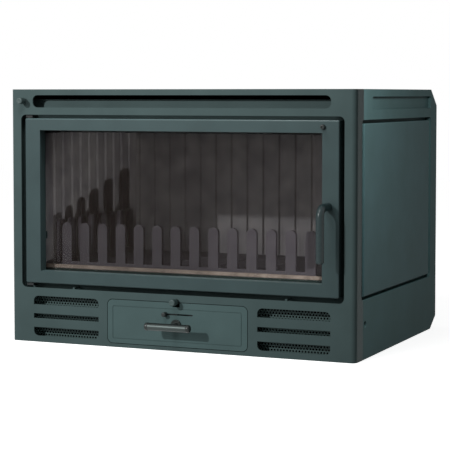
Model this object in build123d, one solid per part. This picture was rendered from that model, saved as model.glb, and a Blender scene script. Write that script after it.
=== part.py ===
"""Fireplace insert: a sheet-steel convection casing round a firebox with a glazed door.

Millimetres, +Z up. The origin is on the floor, under the middle of the casing. The front
faces -Y, and most places are given as a depth behind the front sheet's outer face.
"""

import os

from build123d import *

# Casing
CASING_WIDTH = 700.0
CASING_HEIGHT = 485.0
CASING_DEPTH = 505.0
CASING_SHEET = 3.0
FRONT_BEND_RADIUS = 9.0
FRONT_RETURN = 40.0
REAR_TOP_CUT_DEPTH = 40.0
REAR_TOP_CUT_HEIGHT = 32.0
REAR_FOOT_CUT_DEPTH = 38.0
REAR_FOOT_CUT_HEIGHT = 23.0

# Warm-air slot across the top of the front, and the two vent groups at its foot
OUTLET_SLOT_MARGIN = 47.5
OUTLET_SLOT_HEIGHT = 23.6
OUTLET_SLOT_BELOW_TOP = 11.0
OUTLET_SLOT_CORNER = 10.0
VENT_DRAWER_GAP = 19.5
VENT_ABOVE_DRAWER_FOOT = 3.6
VENT_BELOW_DRAWER_TOP = 1.0
VENT_CORNER = 10.0
VENT_END_SLOT = 16.8
VENT_MIDDLE_SLOT = 9.3

# Side recess and its cover panel, the side outlet slot and the cable hole
SIDE_RECESS_PLATE_GAP = 2.0
SIDE_RECESS_REAR_MARGIN = 40.0
SIDE_RECESS_BOTTOM = 107.0
SIDE_RECESS_TOP_MARGIN = 55.0
SIDE_RECESS_CORNER = 9.0
SIDE_RECESS_DEPTH = 12.0
SIDE_PANEL_END_GAP = 13.5
SIDE_PANEL_EDGE_GAP = 6.5
SIDE_PANEL_THICKNESS = 4.0
SIDE_PANEL_EDGE_RADIUS = 2.0
SIDE_STUD_WIDTH = 10.0
SIDE_STUD_INSET = 30.0
SIDE_SLOT_FRONT_MARGIN = 89.0
SIDE_SLOT_REAR_MARGIN = 41.0
SIDE_SLOT_HEIGHT = 23.5
SIDE_SLOT_BELOW_TOP = 13.5
SIDE_SLOT_CORNER = 6.0
SIDE_SLOT_DEPTH = 6.0
BACKING_SHEET = 1.5
BACKING_BORDER = 6.0
CABLE_HOLE_RADIUS = 6.0
CABLE_HOLE_BEHIND_RETURN = 12.0
CABLE_HOLE_HEIGHT = 63.5

# Top and rear openings
TOP_OUTLET_RADIUS = 60.0
TOP_OUTLET_SIDE_MARGIN = 128.0
COVER_LAP = 6.0
COVER_SCREW_HEAD_RADIUS = 4.0
COVER_SCREW_HEAD_HEIGHT = 2.0
COVER_SCREW_INSET = 12.0
REAR_SLOT_WIDTH = 8.0
REAR_SLOT_HEIGHT = 46.0
REAR_SLOT_PITCH = 30.0
REAR_SLOTS_PER_SIDE = 4
REAR_SLOT_FIRST_X = 150.0
REAR_SLOT_BOTTOM = 45.0

# Firebox of welded plate
FIREBOX_SETBACK = 26.0
FRONT_PLATE = 3.0
FIREBOX_PLATE = 4.0
FIREBOX_SIDE_GAP = 25.0
FIREBOX_TOP_GAP = 45.0
FIREBOX_REAR_GAP = 49.0
FIREBOX_ABOVE_DOOR_EDGE = 6.2
FRONT_PLATE_DRAWER_GAP = 4.0
FRONT_PLATE_RISE = 26.0

# Flue socket and its sliding gate
FLUE_RADIUS = 100.5
FLUE_WALL = 3.0
FLUE_REAR_GAP = 136.0
FLUE_FLANGE = 14.0
FLUE_FLANGE_THICKNESS = 4.0
FLUE_GAP = 1.0
GATE_THICKNESS = 3.0
GATE_OVERLAP = 10.0
GATE_CLEARANCE = 0.5
GATE_LIFT = 1.0
GATE_RAIL_WIDTH = 13.0
GATE_RAIL_HEIGHT = 6.0
GATE_FRONT_LAP = 35.5
GATE_FRONT_ROOM = 25.0
GATE_VENT_WIDTH = 56.0
DAMPER_ROD_RADIUS = 4.0
DAMPER_ROD_SIDE_INSET = 29.0
DAMPER_ROD_BELOW_TOP = 22.0
DAMPER_KNOB_RADIUS = 6.2
DAMPER_KNOB_LENGTH = 15.0
DAMPER_KNOB_PROUD = 20.0
DAMPER_ARM_THICKNESS = 6.0
DAMPER_ARM_HEIGHT = 16.0

# Linings, baffle and hearth
LINING_THICKNESS = 18.0
LINING_FRONT_GAP = 11.0
FLUTE_PITCH = 36.0
FLUTE_WIDTH = 9.0
FLUTE_FLOOR = 4.0
FLUTE_DEPTH = 5.0
BAFFLE_HEADROOM = 36.0
BAFFLE_THICKNESS = 10.0
BAFFLE_FRONT = 130.0
BAFFLE_NOSE = 6.0
HEARTH_THICKNESS = 16.0
HEARTH_FRONT_GAP = 6.0
SILL_ABOVE_HEARTH = 8.0
SILL_THICKNESS = 4.0
SILL_END_GAP = 6.0

# Grates
GRATE_OPENING_WIDTH = 224.0
GRATE_OPENING_FRONT = 150.0
GRATE_OPENING_LENGTH = 200.0
GRATE_LEDGE = 6.0
GRATE_THICKNESS = 8.0
GRATE_CLEARANCE = 1.0
BAR_PITCH = 22.0
BAR_GAP = 9.0
BAR_END = 6.0
BAR_SPINE = 12.0
SHAKER_SIDE_GAP = 4.0
SHAKER_FRONT_ROOM = 9.0
SHAKER_LEDGE = 18.0
SHAKER_LIFT = 0.3
SHAKER_ROD_RADIUS = 4.0
SHAKER_ROD_RISE = 2.0
SHAKER_KNOB_RADIUS = 6.2
SHAKER_KNOB_LENGTH = 15.0
SHAKER_KNOB_PROUD = 20.0
SHAKER_LUG_WIDTH = 12.0
SHAKER_LUG_THICKNESS = 8.0
SHAKER_GUIDE_DEPTH = 62.0
SHAKER_GUIDE_THICKNESS = 6.0
ROD_RUNNING_CLEARANCE = 0.05
ROD_FREE_CLEARANCE = 1.5

# Fire guards with round-topped fingers
GUARD_THICKNESS = 8.0
GUARD_HEARTH_GAP = 3.0
GUARD_FINGER_PITCH = 38.5
GUARD_FINGER_WIDTH = 20.0
GUARD_RAIL_HEIGHT = 14.0
GUARD_HEIGHT = 89.0
GUARD_FOOT = 14.0
GUARD_CORNER_GAP = 8.0
SIDE_GUARD_LINING_GAP = 26.0
SIDE_GUARD_FRONT_GAP = 10.0
SIDE_GUARD_REAR_GAP = 40.0
SIDE_GUARD_PITCH = 42.0
SIDE_GUARD_HEIGHT = 94.0

# Door
DOOR_SIDE_MARGIN = 31.3
DOOR_TOP_MARGIN = 55.3
DOOR_ABOVE_DRAWER = 23.8
DOOR_CORNER = 3.0
DOOR_EDGE_RADIUS = 2.2
DOOR_PROUD = 1.0
DOOR_GAP_SIDE = 9.3
DOOR_GAP_BOTTOM = 9.0
DOOR_GAP_TOP = 7.0
DOOR_OPENING_CORNER = 10.0
DOOR_RIM_WIDTH = 10.2
DOOR_RIM_GAP = 2.0
DOOR_REBATE = 4.0
WINDOW_SIDE_WEB = 22.0
WINDOW_BOTTOM_WEB = 13.6
WINDOW_TOP_WEB = 12.3
MOUTH_INSET = 1.5
GASKET_THICKNESS = 1.0
GASKET_WIDTH = 5.0
GLASS_THICKNESS = 4.0
GLASS_LAP = 5.5
ROPE_WIDTH = 6.0
ROPE_STAND_OFF = 0.4
ROPE_GROOVE_DEPTH = 4.5
ROPE_BEVEL = 1.8
CLIP_LENGTH = 14.0
CLIP_LIP = 6.0
CLIP_SHEET = 1.5
CLIP_GAP = 0.5
CLIP_MOUTH_GAP = 0.3
CLIP_SCREW_RADIUS = 2.0
CLIP_SCREW_HEAD = 1.6

# Door hinge
HINGE_INSET = 7.0
HINGE_DEPTH = 10.0
HINGE_PIN_RADIUS = 4.0
HINGE_PIN_ENGAGEMENT = 20.0
HINGE_BORE_SPARE = 2.0
HINGE_EAR_RADIUS = 7.0
HINGE_EAR_THICKNESS = 4.0
HINGE_WASHER_THICKNESS = 1.2
HINGE_FREE_PLAY = 0.3

# Door handle and latch
HANDLE_ABOVE_MIDDLE = 4.75
HANDLE_GLASS_GAP = 2.0
HANDLE_RADIUS = 7.4
HANDLE_REACH = 42.0
HANDLE_BEND_RADIUS = 16.0
HANDLE_DROP = 98.0
HANDLE_END_BEVEL = 2.5
HANDLE_SHANK_RADIUS = 4.0
HANDLE_FACE_GAP = 0.3
TONGUE_WIDTH = 11.0
TONGUE_THICKNESS = 6.0
TONGUE_GAP = 0.5
LATCH_NUT_RADIUS = 5.5
LATCH_NUT_HEIGHT = 3.5
KEEPER_LAP = 8.5
KEEPER_THICKNESS = 3.0
KEEPER_HEIGHT = 34.0
REST_STUD_INSET = 101.7
REST_STUD_WIDTH = 4.0
REST_STUD_HEIGHT = 3.0

# Ash drawer
DRAWER_WIDTH = 285.0
DRAWER_HEIGHT = 81.8
DRAWER_BOTTOM = 8.2
DRAWER_CORNER = 10.0
DRAWER_GAP = 1.2
KNOB_NOTCH_DEPTH = 8.0
KNOB_NOTCH_CLEARANCE = 1.0
EMBOSS_INSET_SIDE = 10.5
EMBOSS_INSET_TOP = 11.2
EMBOSS_INSET_BOTTOM = 8.1
EMBOSS_WIDTH = 1.6
EMBOSS_DEPTH = 0.9
TRAY_SIDE_GAP = 11.5
TRAY_FRONT = 11.0
TRAY_REAR_LAP = 1.0
TRAY_LIFT = 0.4
TRAY_BELOW_TOP = 11.6
TRAY_WALL_DROP = 8.0
TRAY_SHEET = 2.0
TRAY_STUD_WIDTH = 8.0
TRAY_STUD_INSET = 19.0
RUNNER_TOP = 10.0
RUNNER_WIDTH = 20.0
BAY_INNER_GAP = 2.5
BAY_SHEET = 2.0
BAY_REAR_GAP = 14.0

# Bar handle of the ash drawer
BAR_BELOW_AIR_SLOT = 19.0
BAR_HANDLE_PROUD = 38.0
BAR_HANDLE_LENGTH = 91.0
BAR_HANDLE_RADIUS = 7.0
BAR_CAP_LENGTH = 7.0
BAR_CAP_EXTRA = 0.4
BAR_POST_RADIUS = 5.0
BAR_ROSE_RADIUS = 10.0
BAR_ROSE_THICKNESS = 3.0

# Air slider in the drawer front
AIR_SLOT_BELOW_TOP = 22.0
AIR_SLOT_HEIGHT = 3.0
AIR_SLOT_LEFT = -24.5
AIR_SLOT_LENGTH = 58.0
AIR_SLOT_SPARE = 8.0
AIR_NECK_RADIUS = 1.3
AIR_KNOB_RADIUS = 4.3
AIR_KNOB_PROUD = 11.0
SHUTTER_THICKNESS = 1.5
SHUTTER_HEIGHT = 18.0
SHUTTER_MARGIN = 10.0
SHUTTER_GAP = 0.6
PORT_COUNT = 2
PORT_WIDTH = 24.0
PORT_HEIGHT = 10.0

# Perforated screens behind the vents
SCREEN_SHEET = 1.5
SCREEN_HOLE = 13.0
SCREEN_PITCH = 26.0
SCREEN_MARGIN = 4.0

# Places that follow from the sizes: the drawer, then the door over it
FRONT_Y = -CASING_DEPTH / 2
HALF_WIDTH = CASING_WIDTH / 2
CASING_INNER_X = HALF_WIDTH - CASING_SHEET
DRAWER_TOP = DRAWER_BOTTOM + DRAWER_HEIGHT
DOOR_BOTTOM = DRAWER_TOP + DOOR_ABOVE_DRAWER
DOOR_TOP = CASING_HEIGHT - DOOR_TOP_MARGIN
DOOR_HALF_WIDTH = HALF_WIDTH - DOOR_SIDE_MARGIN
DOOR_RIM_DEPTH = FIREBOX_SETBACK - DOOR_RIM_GAP
DOOR_WEB_DEPTH = DOOR_RIM_DEPTH - DOOR_REBATE
RIM_HALF_WIDTH = DOOR_HALF_WIDTH - DOOR_RIM_WIDTH
WINDOW_HALF_WIDTH = RIM_HALF_WIDTH - WINDOW_SIDE_WEB
WINDOW_BOTTOM = DOOR_BOTTOM + DOOR_RIM_WIDTH + WINDOW_BOTTOM_WEB
WINDOW_TOP = DOOR_TOP - DOOR_RIM_WIDTH - WINDOW_TOP_WEB
CLIP_FOOT = WINDOW_TOP_WEB - GLASS_LAP - CLIP_GAP - MOUTH_INSET - CLIP_MOUTH_GAP
MOUTH_HALF_WIDTH = RIM_HALF_WIDTH - MOUTH_INSET
HINGE_X = -DOOR_HALF_WIDTH + HINGE_INSET
HANDLE_X = WINDOW_HALF_WIDTH + GLASS_LAP + HANDLE_GLASS_GAP + HANDLE_SHANK_RADIUS
HANDLE_Z = (DOOR_BOTTOM + DOOR_TOP) / 2 + HANDLE_ABOVE_MIDDLE
TONGUE_REACH = MOUTH_HALF_WIDTH + KEEPER_LAP - HANDLE_X

# The firebox and what stands in it
FRONT_PLATE_BACK = FIREBOX_SETBACK + FRONT_PLATE
FRONT_PLATE_BOTTOM = DRAWER_TOP + FRONT_PLATE_DRAWER_GAP
FIREBOX_HALF_WIDTH = CASING_INNER_X - FIREBOX_SIDE_GAP - FIREBOX_PLATE
FIREBOX_FLOOR_BOTTOM = DOOR_BOTTOM + FIREBOX_ABOVE_DOOR_EDGE
FIREBOX_FLOOR_TOP = FIREBOX_FLOOR_BOTTOM + FIREBOX_PLATE
FIREBOX_TOP = CASING_HEIGHT - FIREBOX_TOP_GAP
FIREBOX_ROOF_BOTTOM = FIREBOX_TOP - FIREBOX_PLATE
FRONT_PLATE_TOP = FIREBOX_TOP + FRONT_PLATE_RISE
FIREBOX_BACK_DEPTH = CASING_DEPTH - FIREBOX_REAR_GAP
FIREBOX_BACK_FACE = FIREBOX_BACK_DEPTH - FIREBOX_PLATE
BACK_LINING_FACE = FIREBOX_BACK_FACE - LINING_THICKNESS
LINING_TOP = FIREBOX_ROOF_BOTTOM - BAFFLE_HEADROOM
HEARTH_TOP = FIREBOX_FLOOR_TOP + HEARTH_THICKNESS
HEARTH_FRONT = FRONT_PLATE_BACK + HEARTH_FRONT_GAP
LINING_FRONT = HEARTH_FRONT + LINING_FRONT_GAP
GUARD_DEPTH = HEARTH_FRONT + GUARD_HEARTH_GAP
SIDE_GUARD_X = FIREBOX_HALF_WIDTH - LINING_THICKNESS - SIDE_GUARD_LINING_GAP
SIDE_GUARD_START = GUARD_DEPTH + GUARD_THICKNESS + SIDE_GUARD_FRONT_GAP

# The grates, their shaker and the tray under them
GRATE_OPENING_BACK = GRATE_OPENING_FRONT + GRATE_OPENING_LENGTH
SHAKER_TRAVEL = BAR_PITCH
SHAKER_HALF_WIDTH = GRATE_OPENING_WIDTH / 2 - SHAKER_SIDE_GAP
SHAKER_REST_BACK = GRATE_OPENING_BACK - GRATE_CLEARANCE
SHAKER_REST_FRONT = GRATE_OPENING_FRONT + SHAKER_FRONT_ROOM + SHAKER_TRAVEL
SHAKER_ROD_Z = DRAWER_TOP + SHAKER_ROD_RISE
TRAY_HALF_WIDTH = DRAWER_WIDTH / 2 - TRAY_SIDE_GAP
TRAY_BACK = GRATE_OPENING_BACK + TRAY_REAR_LAP
TRAY_BOTTOM = RUNNER_TOP + TRAY_LIFT
TRAY_FRONT_TOP = DRAWER_TOP - TRAY_BELOW_TOP
BAY_INNER_X = DRAWER_WIDTH / 2 + BAY_INNER_GAP
BAY_BACK_FACE = TRAY_BACK + BAY_REAR_GAP
AIR_TRAVEL = AIR_SLOT_LENGTH - AIR_SLOT_SPARE
AIR_SLOT_Z = DRAWER_TOP - AIR_SLOT_BELOW_TOP
BAR_HANDLE_Z = AIR_SLOT_Z - BAR_BELOW_AIR_SLOT

# The flue, its gate and the openings in the casing
FLUE_DEPTH = FIREBOX_BACK_DEPTH - FLUE_REAR_GAP
GATE_HALF_WIDTH = FLUE_RADIUS + GATE_OVERLAP
GATE_REST_FRONT = FLUE_DEPTH - FLUE_RADIUS - GATE_FRONT_LAP
GATE_TRAVEL = GATE_REST_FRONT - FRONT_PLATE_BACK - GATE_FRONT_ROOM
DAMPER_ROD_X = -HALF_WIDTH + DAMPER_ROD_SIDE_INSET
DAMPER_ROD_Z = CASING_HEIGHT - DAMPER_ROD_BELOW_TOP
OUTLET_SLOT_HALF_LENGTH = HALF_WIDTH - OUTLET_SLOT_MARGIN
VENT_BOTTOM = DRAWER_BOTTOM + VENT_ABOVE_DRAWER_FOOT
VENT_TOP = DRAWER_TOP - VENT_BELOW_DRAWER_TOP
TOP_OUTLET_X = HALF_WIDTH - TOP_OUTLET_SIDE_MARGIN
SIDE_RECESS_START = FRONT_PLATE_BACK + SIDE_RECESS_PLATE_GAP
SIDE_RECESS_END = CASING_DEPTH - SIDE_RECESS_REAR_MARGIN
SIDE_RECESS_TOP = CASING_HEIGHT - SIDE_RECESS_TOP_MARGIN
SIDE_SLOT_TOP = CASING_HEIGHT - SIDE_SLOT_BELOW_TOP


def span(low_a, high_a, low_b, high_b, radius=0.0):
    """Returns a rectangle between limits, with round corners if a radius is given."""
    size = (high_a - low_a, high_b - low_b)
    face = RectangleRounded(*size, radius) if radius else Rectangle(*size)
    return Pos((low_a + high_a) / 2, (low_b + high_b) / 2) * face


def upright(face, depth, thickness):
    """Makes a face drawn in X and Z a plate, from a depth behind the front backwards."""
    return extrude(Plane.XZ.offset(-FRONT_Y - depth) * face, amount=-thickness)


def level(face, bottom, thickness):
    """Makes a face drawn in X and depth a plate that lies flat on a height."""
    return extrude(Pos(0, FRONT_Y, bottom) * face, amount=thickness)


def sideways(face, left, thickness):
    """Makes a face drawn in depth and Z a plate, from an X place to the right."""
    plane = Plane(origin=(left, FRONT_Y, 0), x_dir=(0, 1, 0), z_dir=(1, 0, 0))
    return extrude(plane * face, amount=thickness)


def pin(radius, x, z, near, far):
    """Returns a round bar along Y, between two depths behind the front."""
    return upright(Pos(x, z) * Circle(radius), near, far - near)


def post(radius, x, depth, low, high):
    """Returns a round upright bar, between two heights."""
    return level(Pos(x, depth) * Circle(radius), low, high - low)


def left_copy(shape):
    """Mirrors a piece of the right side to the left side."""
    return mirror(shape, about=Plane.YZ)


def casing_outline():
    """Returns the casing's side outline, in depth and Z, with both rear corners cut."""
    top_cut = CASING_DEPTH - REAR_TOP_CUT_DEPTH
    foot_cut = CASING_DEPTH - REAR_FOOT_CUT_DEPTH
    return Polygon(
        (0, 0),
        (foot_cut, 0),
        (CASING_DEPTH, REAR_FOOT_CUT_HEIGHT),
        (CASING_DEPTH, CASING_HEIGHT - REAR_TOP_CUT_HEIGHT),
        (top_cut, CASING_HEIGHT),
        (0, CASING_HEIGHT),
    )


def casing_band(clip):
    """Cuts one wall from the casing's band of sheet and makes it as wide as the casing."""
    outline = casing_outline()
    band = outline - offset(outline, amount=-CASING_SHEET)
    return sideways(band & clip, -CASING_INNER_X, 2 * CASING_INNER_X)


def level_wall(clip):
    """Cuts the casing's top or bottom from its band, rounded to fit the front's bends."""
    wall = casing_band(clip)
    corners = wall.edges().filter_by(Axis.Z).sort_by(Axis.Y)[:2]
    return fillet(corners, FRONT_BEND_RADIUS - CASING_SHEET)


def vent_group():
    """Returns the right group of three vent slots: one rounded outline cut by two bars."""
    inner = DRAWER_WIDTH / 2 + VENT_DRAWER_GAP
    outer = OUTLET_SLOT_HALF_LENGTH
    middle = (VENT_BOTTOM + VENT_TOP) / 2
    outline = span(inner, outer, VENT_BOTTOM, VENT_TOP, VENT_CORNER)
    slots = span(inner, outer, VENT_BOTTOM, VENT_BOTTOM + VENT_END_SLOT)
    slots += span(inner, outer, VENT_TOP - VENT_END_SLOT, VENT_TOP)
    slots += span(inner, outer, middle - VENT_MIDDLE_SLOT / 2, middle + VENT_MIDDLE_SLOT / 2)
    return outline & slots


def side_recess(grow=0.0, corner=SIDE_RECESS_CORNER):
    """Returns the outline of the side recess, in depth and Z, or one that is larger all round."""
    return span(
        SIDE_RECESS_START - grow,
        SIDE_RECESS_END + grow,
        SIDE_RECESS_BOTTOM - grow,
        SIDE_RECESS_TOP + grow,
        corner,
    )


def side_slot(grow=0.0, corner=SIDE_SLOT_CORNER):
    """Returns the outline of the side outlet slot, in depth and Z, or one that is larger."""
    return span(
        SIDE_SLOT_FRONT_MARGIN - grow,
        CASING_DEPTH - SIDE_SLOT_REAR_MARGIN + grow,
        SIDE_SLOT_TOP - SIDE_SLOT_HEIGHT - grow,
        SIDE_SLOT_TOP + grow,
        corner,
    )


def front_surround():
    """Folds the front sheet round both corners and cuts its openings."""
    outer = Pos(0, FRONT_RETURN / 2) * Rectangle(CASING_WIDTH, FRONT_RETURN)
    outer = fillet(outer.vertices().sort_by(Axis.Y)[:2], FRONT_BEND_RADIUS)
    inner = span(-CASING_INNER_X, CASING_INNER_X, CASING_SHEET, FRONT_RETURN)
    inner = fillet(inner.vertices().sort_by(Axis.Y)[:2], FRONT_BEND_RADIUS - CASING_SHEET)
    body = level(outer - inner, 0, CASING_HEIGHT)
    slot_top = CASING_HEIGHT - OUTLET_SLOT_BELOW_TOP
    openings = span(
        -DOOR_HALF_WIDTH - DOOR_GAP_SIDE,
        DOOR_HALF_WIDTH + DOOR_GAP_SIDE,
        DOOR_BOTTOM - DOOR_GAP_BOTTOM,
        DOOR_TOP + DOOR_GAP_TOP,
        DOOR_OPENING_CORNER,
    )
    openings += span(
        -OUTLET_SLOT_HALF_LENGTH,
        OUTLET_SLOT_HALF_LENGTH,
        slot_top - OUTLET_SLOT_HEIGHT,
        slot_top,
        OUTLET_SLOT_CORNER,
    )
    openings += vent_group() + mirror(vent_group(), about=Plane.YZ)
    openings += span(
        -DRAWER_WIDTH / 2 - DRAWER_GAP,
        DRAWER_WIDTH / 2 + DRAWER_GAP,
        DRAWER_BOTTOM - DRAWER_GAP,
        DRAWER_TOP + DRAWER_GAP,
        DRAWER_CORNER + DRAWER_GAP,
    )
    openings += Pos(0, SHAKER_ROD_Z) * Circle(SHAKER_ROD_RADIUS + ROD_FREE_CLEARANCE)
    openings += Pos(DAMPER_ROD_X, DAMPER_ROD_Z) * Circle(
        DAMPER_ROD_RADIUS + ROD_RUNNING_CLEARANCE
    )
    body -= upright(openings, 0, CASING_SHEET)
    body -= sideways(side_recess(), -HALF_WIDTH, CASING_WIDTH)
    return body


def side_casing():
    """Returns the right side sheet, behind the front's return."""
    sheet = casing_outline() & span(FRONT_RETURN, CASING_DEPTH, 0, CASING_HEIGHT)
    sheet -= side_recess() + side_slot()
    hole_depth = FRONT_RETURN + CABLE_HOLE_BEHIND_RETURN
    sheet -= Pos(hole_depth, CABLE_HOLE_HEIGHT) * Circle(CABLE_HOLE_RADIUS)
    return sideways(sheet, CASING_INNER_X, CASING_SHEET)


def side_backing():
    """Presses the right backing sheet with a pan for the panel and one for the slot."""
    inner_x = CASING_INNER_X
    pan_x = HALF_WIDTH - SIDE_RECESS_DEPTH
    slot_x = HALF_WIDTH - SIDE_SLOT_DEPTH
    border = span(
        SIDE_RECESS_START - BACKING_SHEET,
        SIDE_RECESS_END + BACKING_BORDER,
        SIDE_RECESS_BOTTOM - BACKING_BORDER,
        SIDE_SLOT_TOP + BACKING_BORDER / 2,
    )
    sheet = sideways(border, inner_x - BACKING_SHEET, BACKING_SHEET)
    sheet += sideways(side_recess(BACKING_SHEET, 0), pan_x - BACKING_SHEET, inner_x - pan_x)
    sheet += sideways(side_slot(BACKING_SHEET, 0), slot_x - BACKING_SHEET, inner_x - slot_x)
    sheet -= sideways(side_recess(), pan_x, SIDE_RECESS_DEPTH)
    sheet -= sideways(side_slot(), slot_x, SIDE_SLOT_DEPTH)
    return sheet


def side_panel():
    """Returns the right cover panel, on four studs that stand on the recess floor."""
    low_depth = SIDE_RECESS_START + SIDE_PANEL_END_GAP
    high_depth = SIDE_RECESS_END - SIDE_PANEL_END_GAP
    low_z = SIDE_RECESS_BOTTOM + SIDE_PANEL_EDGE_GAP
    high_z = SIDE_RECESS_TOP - SIDE_PANEL_EDGE_GAP
    inner_x = HALF_WIDTH - SIDE_PANEL_THICKNESS
    face = span(low_depth, high_depth, low_z, high_z)
    panel = sideways(face, inner_x, SIDE_PANEL_THICKNESS)
    panel = fillet(panel.faces().sort_by(Axis.X)[-1].edges(), SIDE_PANEL_EDGE_RADIUS)
    floor_x = HALF_WIDTH - SIDE_RECESS_DEPTH
    for depth in (low_depth + SIDE_STUD_INSET, high_depth - SIDE_STUD_INSET):
        for z in (low_z + SIDE_STUD_INSET, high_z - SIDE_STUD_INSET):
            stud = Pos(depth, z) * Rectangle(SIDE_STUD_WIDTH, SIDE_STUD_WIDTH)
            panel += sideways(stud, floor_x, inner_x - floor_x)
    return panel


def top_plate():
    """Returns the casing's top with its flue hole and two round warm-air openings."""
    rear = CASING_DEPTH - REAR_TOP_CUT_DEPTH
    plate = level_wall(span(CASING_SHEET, rear, CASING_HEIGHT / 2, CASING_HEIGHT))
    holes = Pos(0, FLUE_DEPTH) * Circle(FLUE_RADIUS + FLUE_WALL + FLUE_GAP)
    for side in (-1, 1):
        holes += Pos(side * TOP_OUTLET_X, FLUE_DEPTH) * Circle(TOP_OUTLET_RADIUS)
    return plate - level(holes, CASING_HEIGHT - CASING_SHEET, CASING_SHEET)


def outlet_cover(side):
    """Returns the blanking plate under one warm-air opening, with its two screw heads."""
    x = side * TOP_OUTLET_X
    top = CASING_HEIGHT - CASING_SHEET
    width = 2 * (TOP_OUTLET_RADIUS + COVER_LAP)
    plate = level(Pos(x, FLUE_DEPTH) * Rectangle(width, width), top - BACKING_SHEET, BACKING_SHEET)
    for turn in (-1, 1):
        depth = FLUE_DEPTH + turn * (TOP_OUTLET_RADIUS - COVER_SCREW_INSET)
        head = Pos(x, depth) * RegularPolygon(COVER_SCREW_HEAD_RADIUS, 6)
        plate += level(head, top, COVER_SCREW_HEAD_HEIGHT)
    return plate


def rear_panel():
    """Folds the rear sheet along both rear cuts, with a row of air slots at its foot."""
    top_cut = CASING_DEPTH - REAR_TOP_CUT_DEPTH
    foot_cut = CASING_DEPTH - REAR_FOOT_CUT_DEPTH
    clip = span(top_cut, CASING_DEPTH, CASING_HEIGHT / 2, CASING_HEIGHT)
    clip += span(foot_cut, CASING_DEPTH, 0, CASING_HEIGHT / 2)
    panel = casing_band(clip)
    slots = Sketch()
    for index in range(REAR_SLOTS_PER_SIDE):
        for side in (-1, 1):
            x = side * (REAR_SLOT_FIRST_X + index * REAR_SLOT_PITCH)
            z = REAR_SLOT_BOTTOM + REAR_SLOT_HEIGHT / 2
            slots += Pos(x, z) * Rectangle(REAR_SLOT_WIDTH, REAR_SLOT_HEIGHT)
    return panel - upright(slots, CASING_DEPTH - CASING_SHEET, CASING_SHEET)


def base_plate():
    """Returns the casing's bottom sheet."""
    rear = CASING_DEPTH - REAR_FOOT_CUT_DEPTH
    return level_wall(span(CASING_SHEET, rear, 0, CASING_HEIGHT / 2))


def perforated_screen():
    """Returns the right perforated sheet behind the vents."""
    left = BAY_INNER_X + BAY_SHEET
    face = span(left, CASING_INNER_X, CASING_SHEET, FRONT_PLATE_BOTTOM)
    width = CASING_INNER_X - left - 2 * SCREEN_MARGIN
    height = FRONT_PLATE_BOTTOM - CASING_SHEET - 2 * SCREEN_MARGIN
    columns = int(width // SCREEN_PITCH)
    rows = int(height // SCREEN_PITCH)
    middle_x = (left + CASING_INNER_X) / 2
    middle_z = (CASING_SHEET + FRONT_PLATE_BOTTOM) / 2
    holes = [
        Pos(x, z) * Rotation(0, 0, 45) * Rectangle(SCREEN_HOLE, SCREEN_HOLE)
        for x, z in (
            (
                middle_x + (column - (columns - 1) / 2 + 0.25 * (-1) ** row) * SCREEN_PITCH,
                middle_z + (row - (rows - 1) / 2) * SCREEN_PITCH,
            )
            for column in range(columns)
            for row in range(rows)
        )
    ]
    return upright(face - holes, FIREBOX_SETBACK, SCREEN_SHEET)


def mouth():
    """Returns the firebox mouth, in X and Z, just inside the door's rim."""
    low = DOOR_BOTTOM + DOOR_RIM_WIDTH + MOUTH_INSET
    high = DOOR_TOP - DOOR_RIM_WIDTH - MOUTH_INSET
    return span(-MOUTH_HALF_WIDTH, MOUTH_HALF_WIDTH, low, high)


def firebox_front_plate():
    """Returns the plate that carries the firebox, the hinge and the door's seal."""
    face = span(-CASING_INNER_X, CASING_INNER_X, FRONT_PLATE_BOTTOM, FRONT_PLATE_TOP)
    face -= mouth()
    damper_room = DAMPER_ROD_RADIUS + ROD_FREE_CLEARANCE
    shaker_room = SHAKER_ROD_RADIUS + ROD_FREE_CLEARANCE
    face -= Pos(DAMPER_ROD_X, DAMPER_ROD_Z) * Circle(damper_room)
    face -= span(
        DAMPER_ROD_X - damper_room, DAMPER_ROD_X + damper_room, DAMPER_ROD_Z, FRONT_PLATE_TOP
    )
    face -= Pos(0, SHAKER_ROD_Z) * Circle(shaker_room)
    plate = upright(face, FIREBOX_SETBACK, FRONT_PLATE)
    low = DOOR_BOTTOM - DOOR_GAP_BOTTOM
    for side in (-1, 1):
        stud = span(-REST_STUD_WIDTH / 2, REST_STUD_WIDTH / 2, low, low + REST_STUD_HEIGHT)
        stud = Pos(side * (DOOR_HALF_WIDTH - REST_STUD_INSET), 0) * stud
        plate += upright(stud, CASING_SHEET, FIREBOX_SETBACK - CASING_SHEET)
    return plate


def firebox_side():
    """Returns the firebox's right wall."""
    face = span(FRONT_PLATE_BACK, FIREBOX_BACK_DEPTH, FIREBOX_FLOOR_BOTTOM, FIREBOX_ROOF_BOTTOM)
    return sideways(face, FIREBOX_HALF_WIDTH, FIREBOX_PLATE)


def firebox_back():
    """Returns the firebox's rear wall."""
    half = FIREBOX_HALF_WIDTH
    face = span(-half, half, FIREBOX_FLOOR_BOTTOM, FIREBOX_ROOF_BOTTOM)
    return upright(face, FIREBOX_BACK_FACE, FIREBOX_PLATE)


def firebox_floor():
    """Returns the firebox's floor with its ash hole."""
    half = FIREBOX_HALF_WIDTH
    face = span(-half, half, FRONT_PLATE_BACK, FIREBOX_BACK_FACE)
    half_hole = SHAKER_HALF_WIDTH - SHAKER_LEDGE
    face -= span(
        -half_hole,
        half_hole,
        GRATE_OPENING_FRONT + GRATE_LEDGE,
        GRATE_OPENING_BACK - GRATE_LEDGE,
    )
    return level(face, FIREBOX_FLOOR_BOTTOM, FIREBOX_PLATE)


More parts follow.
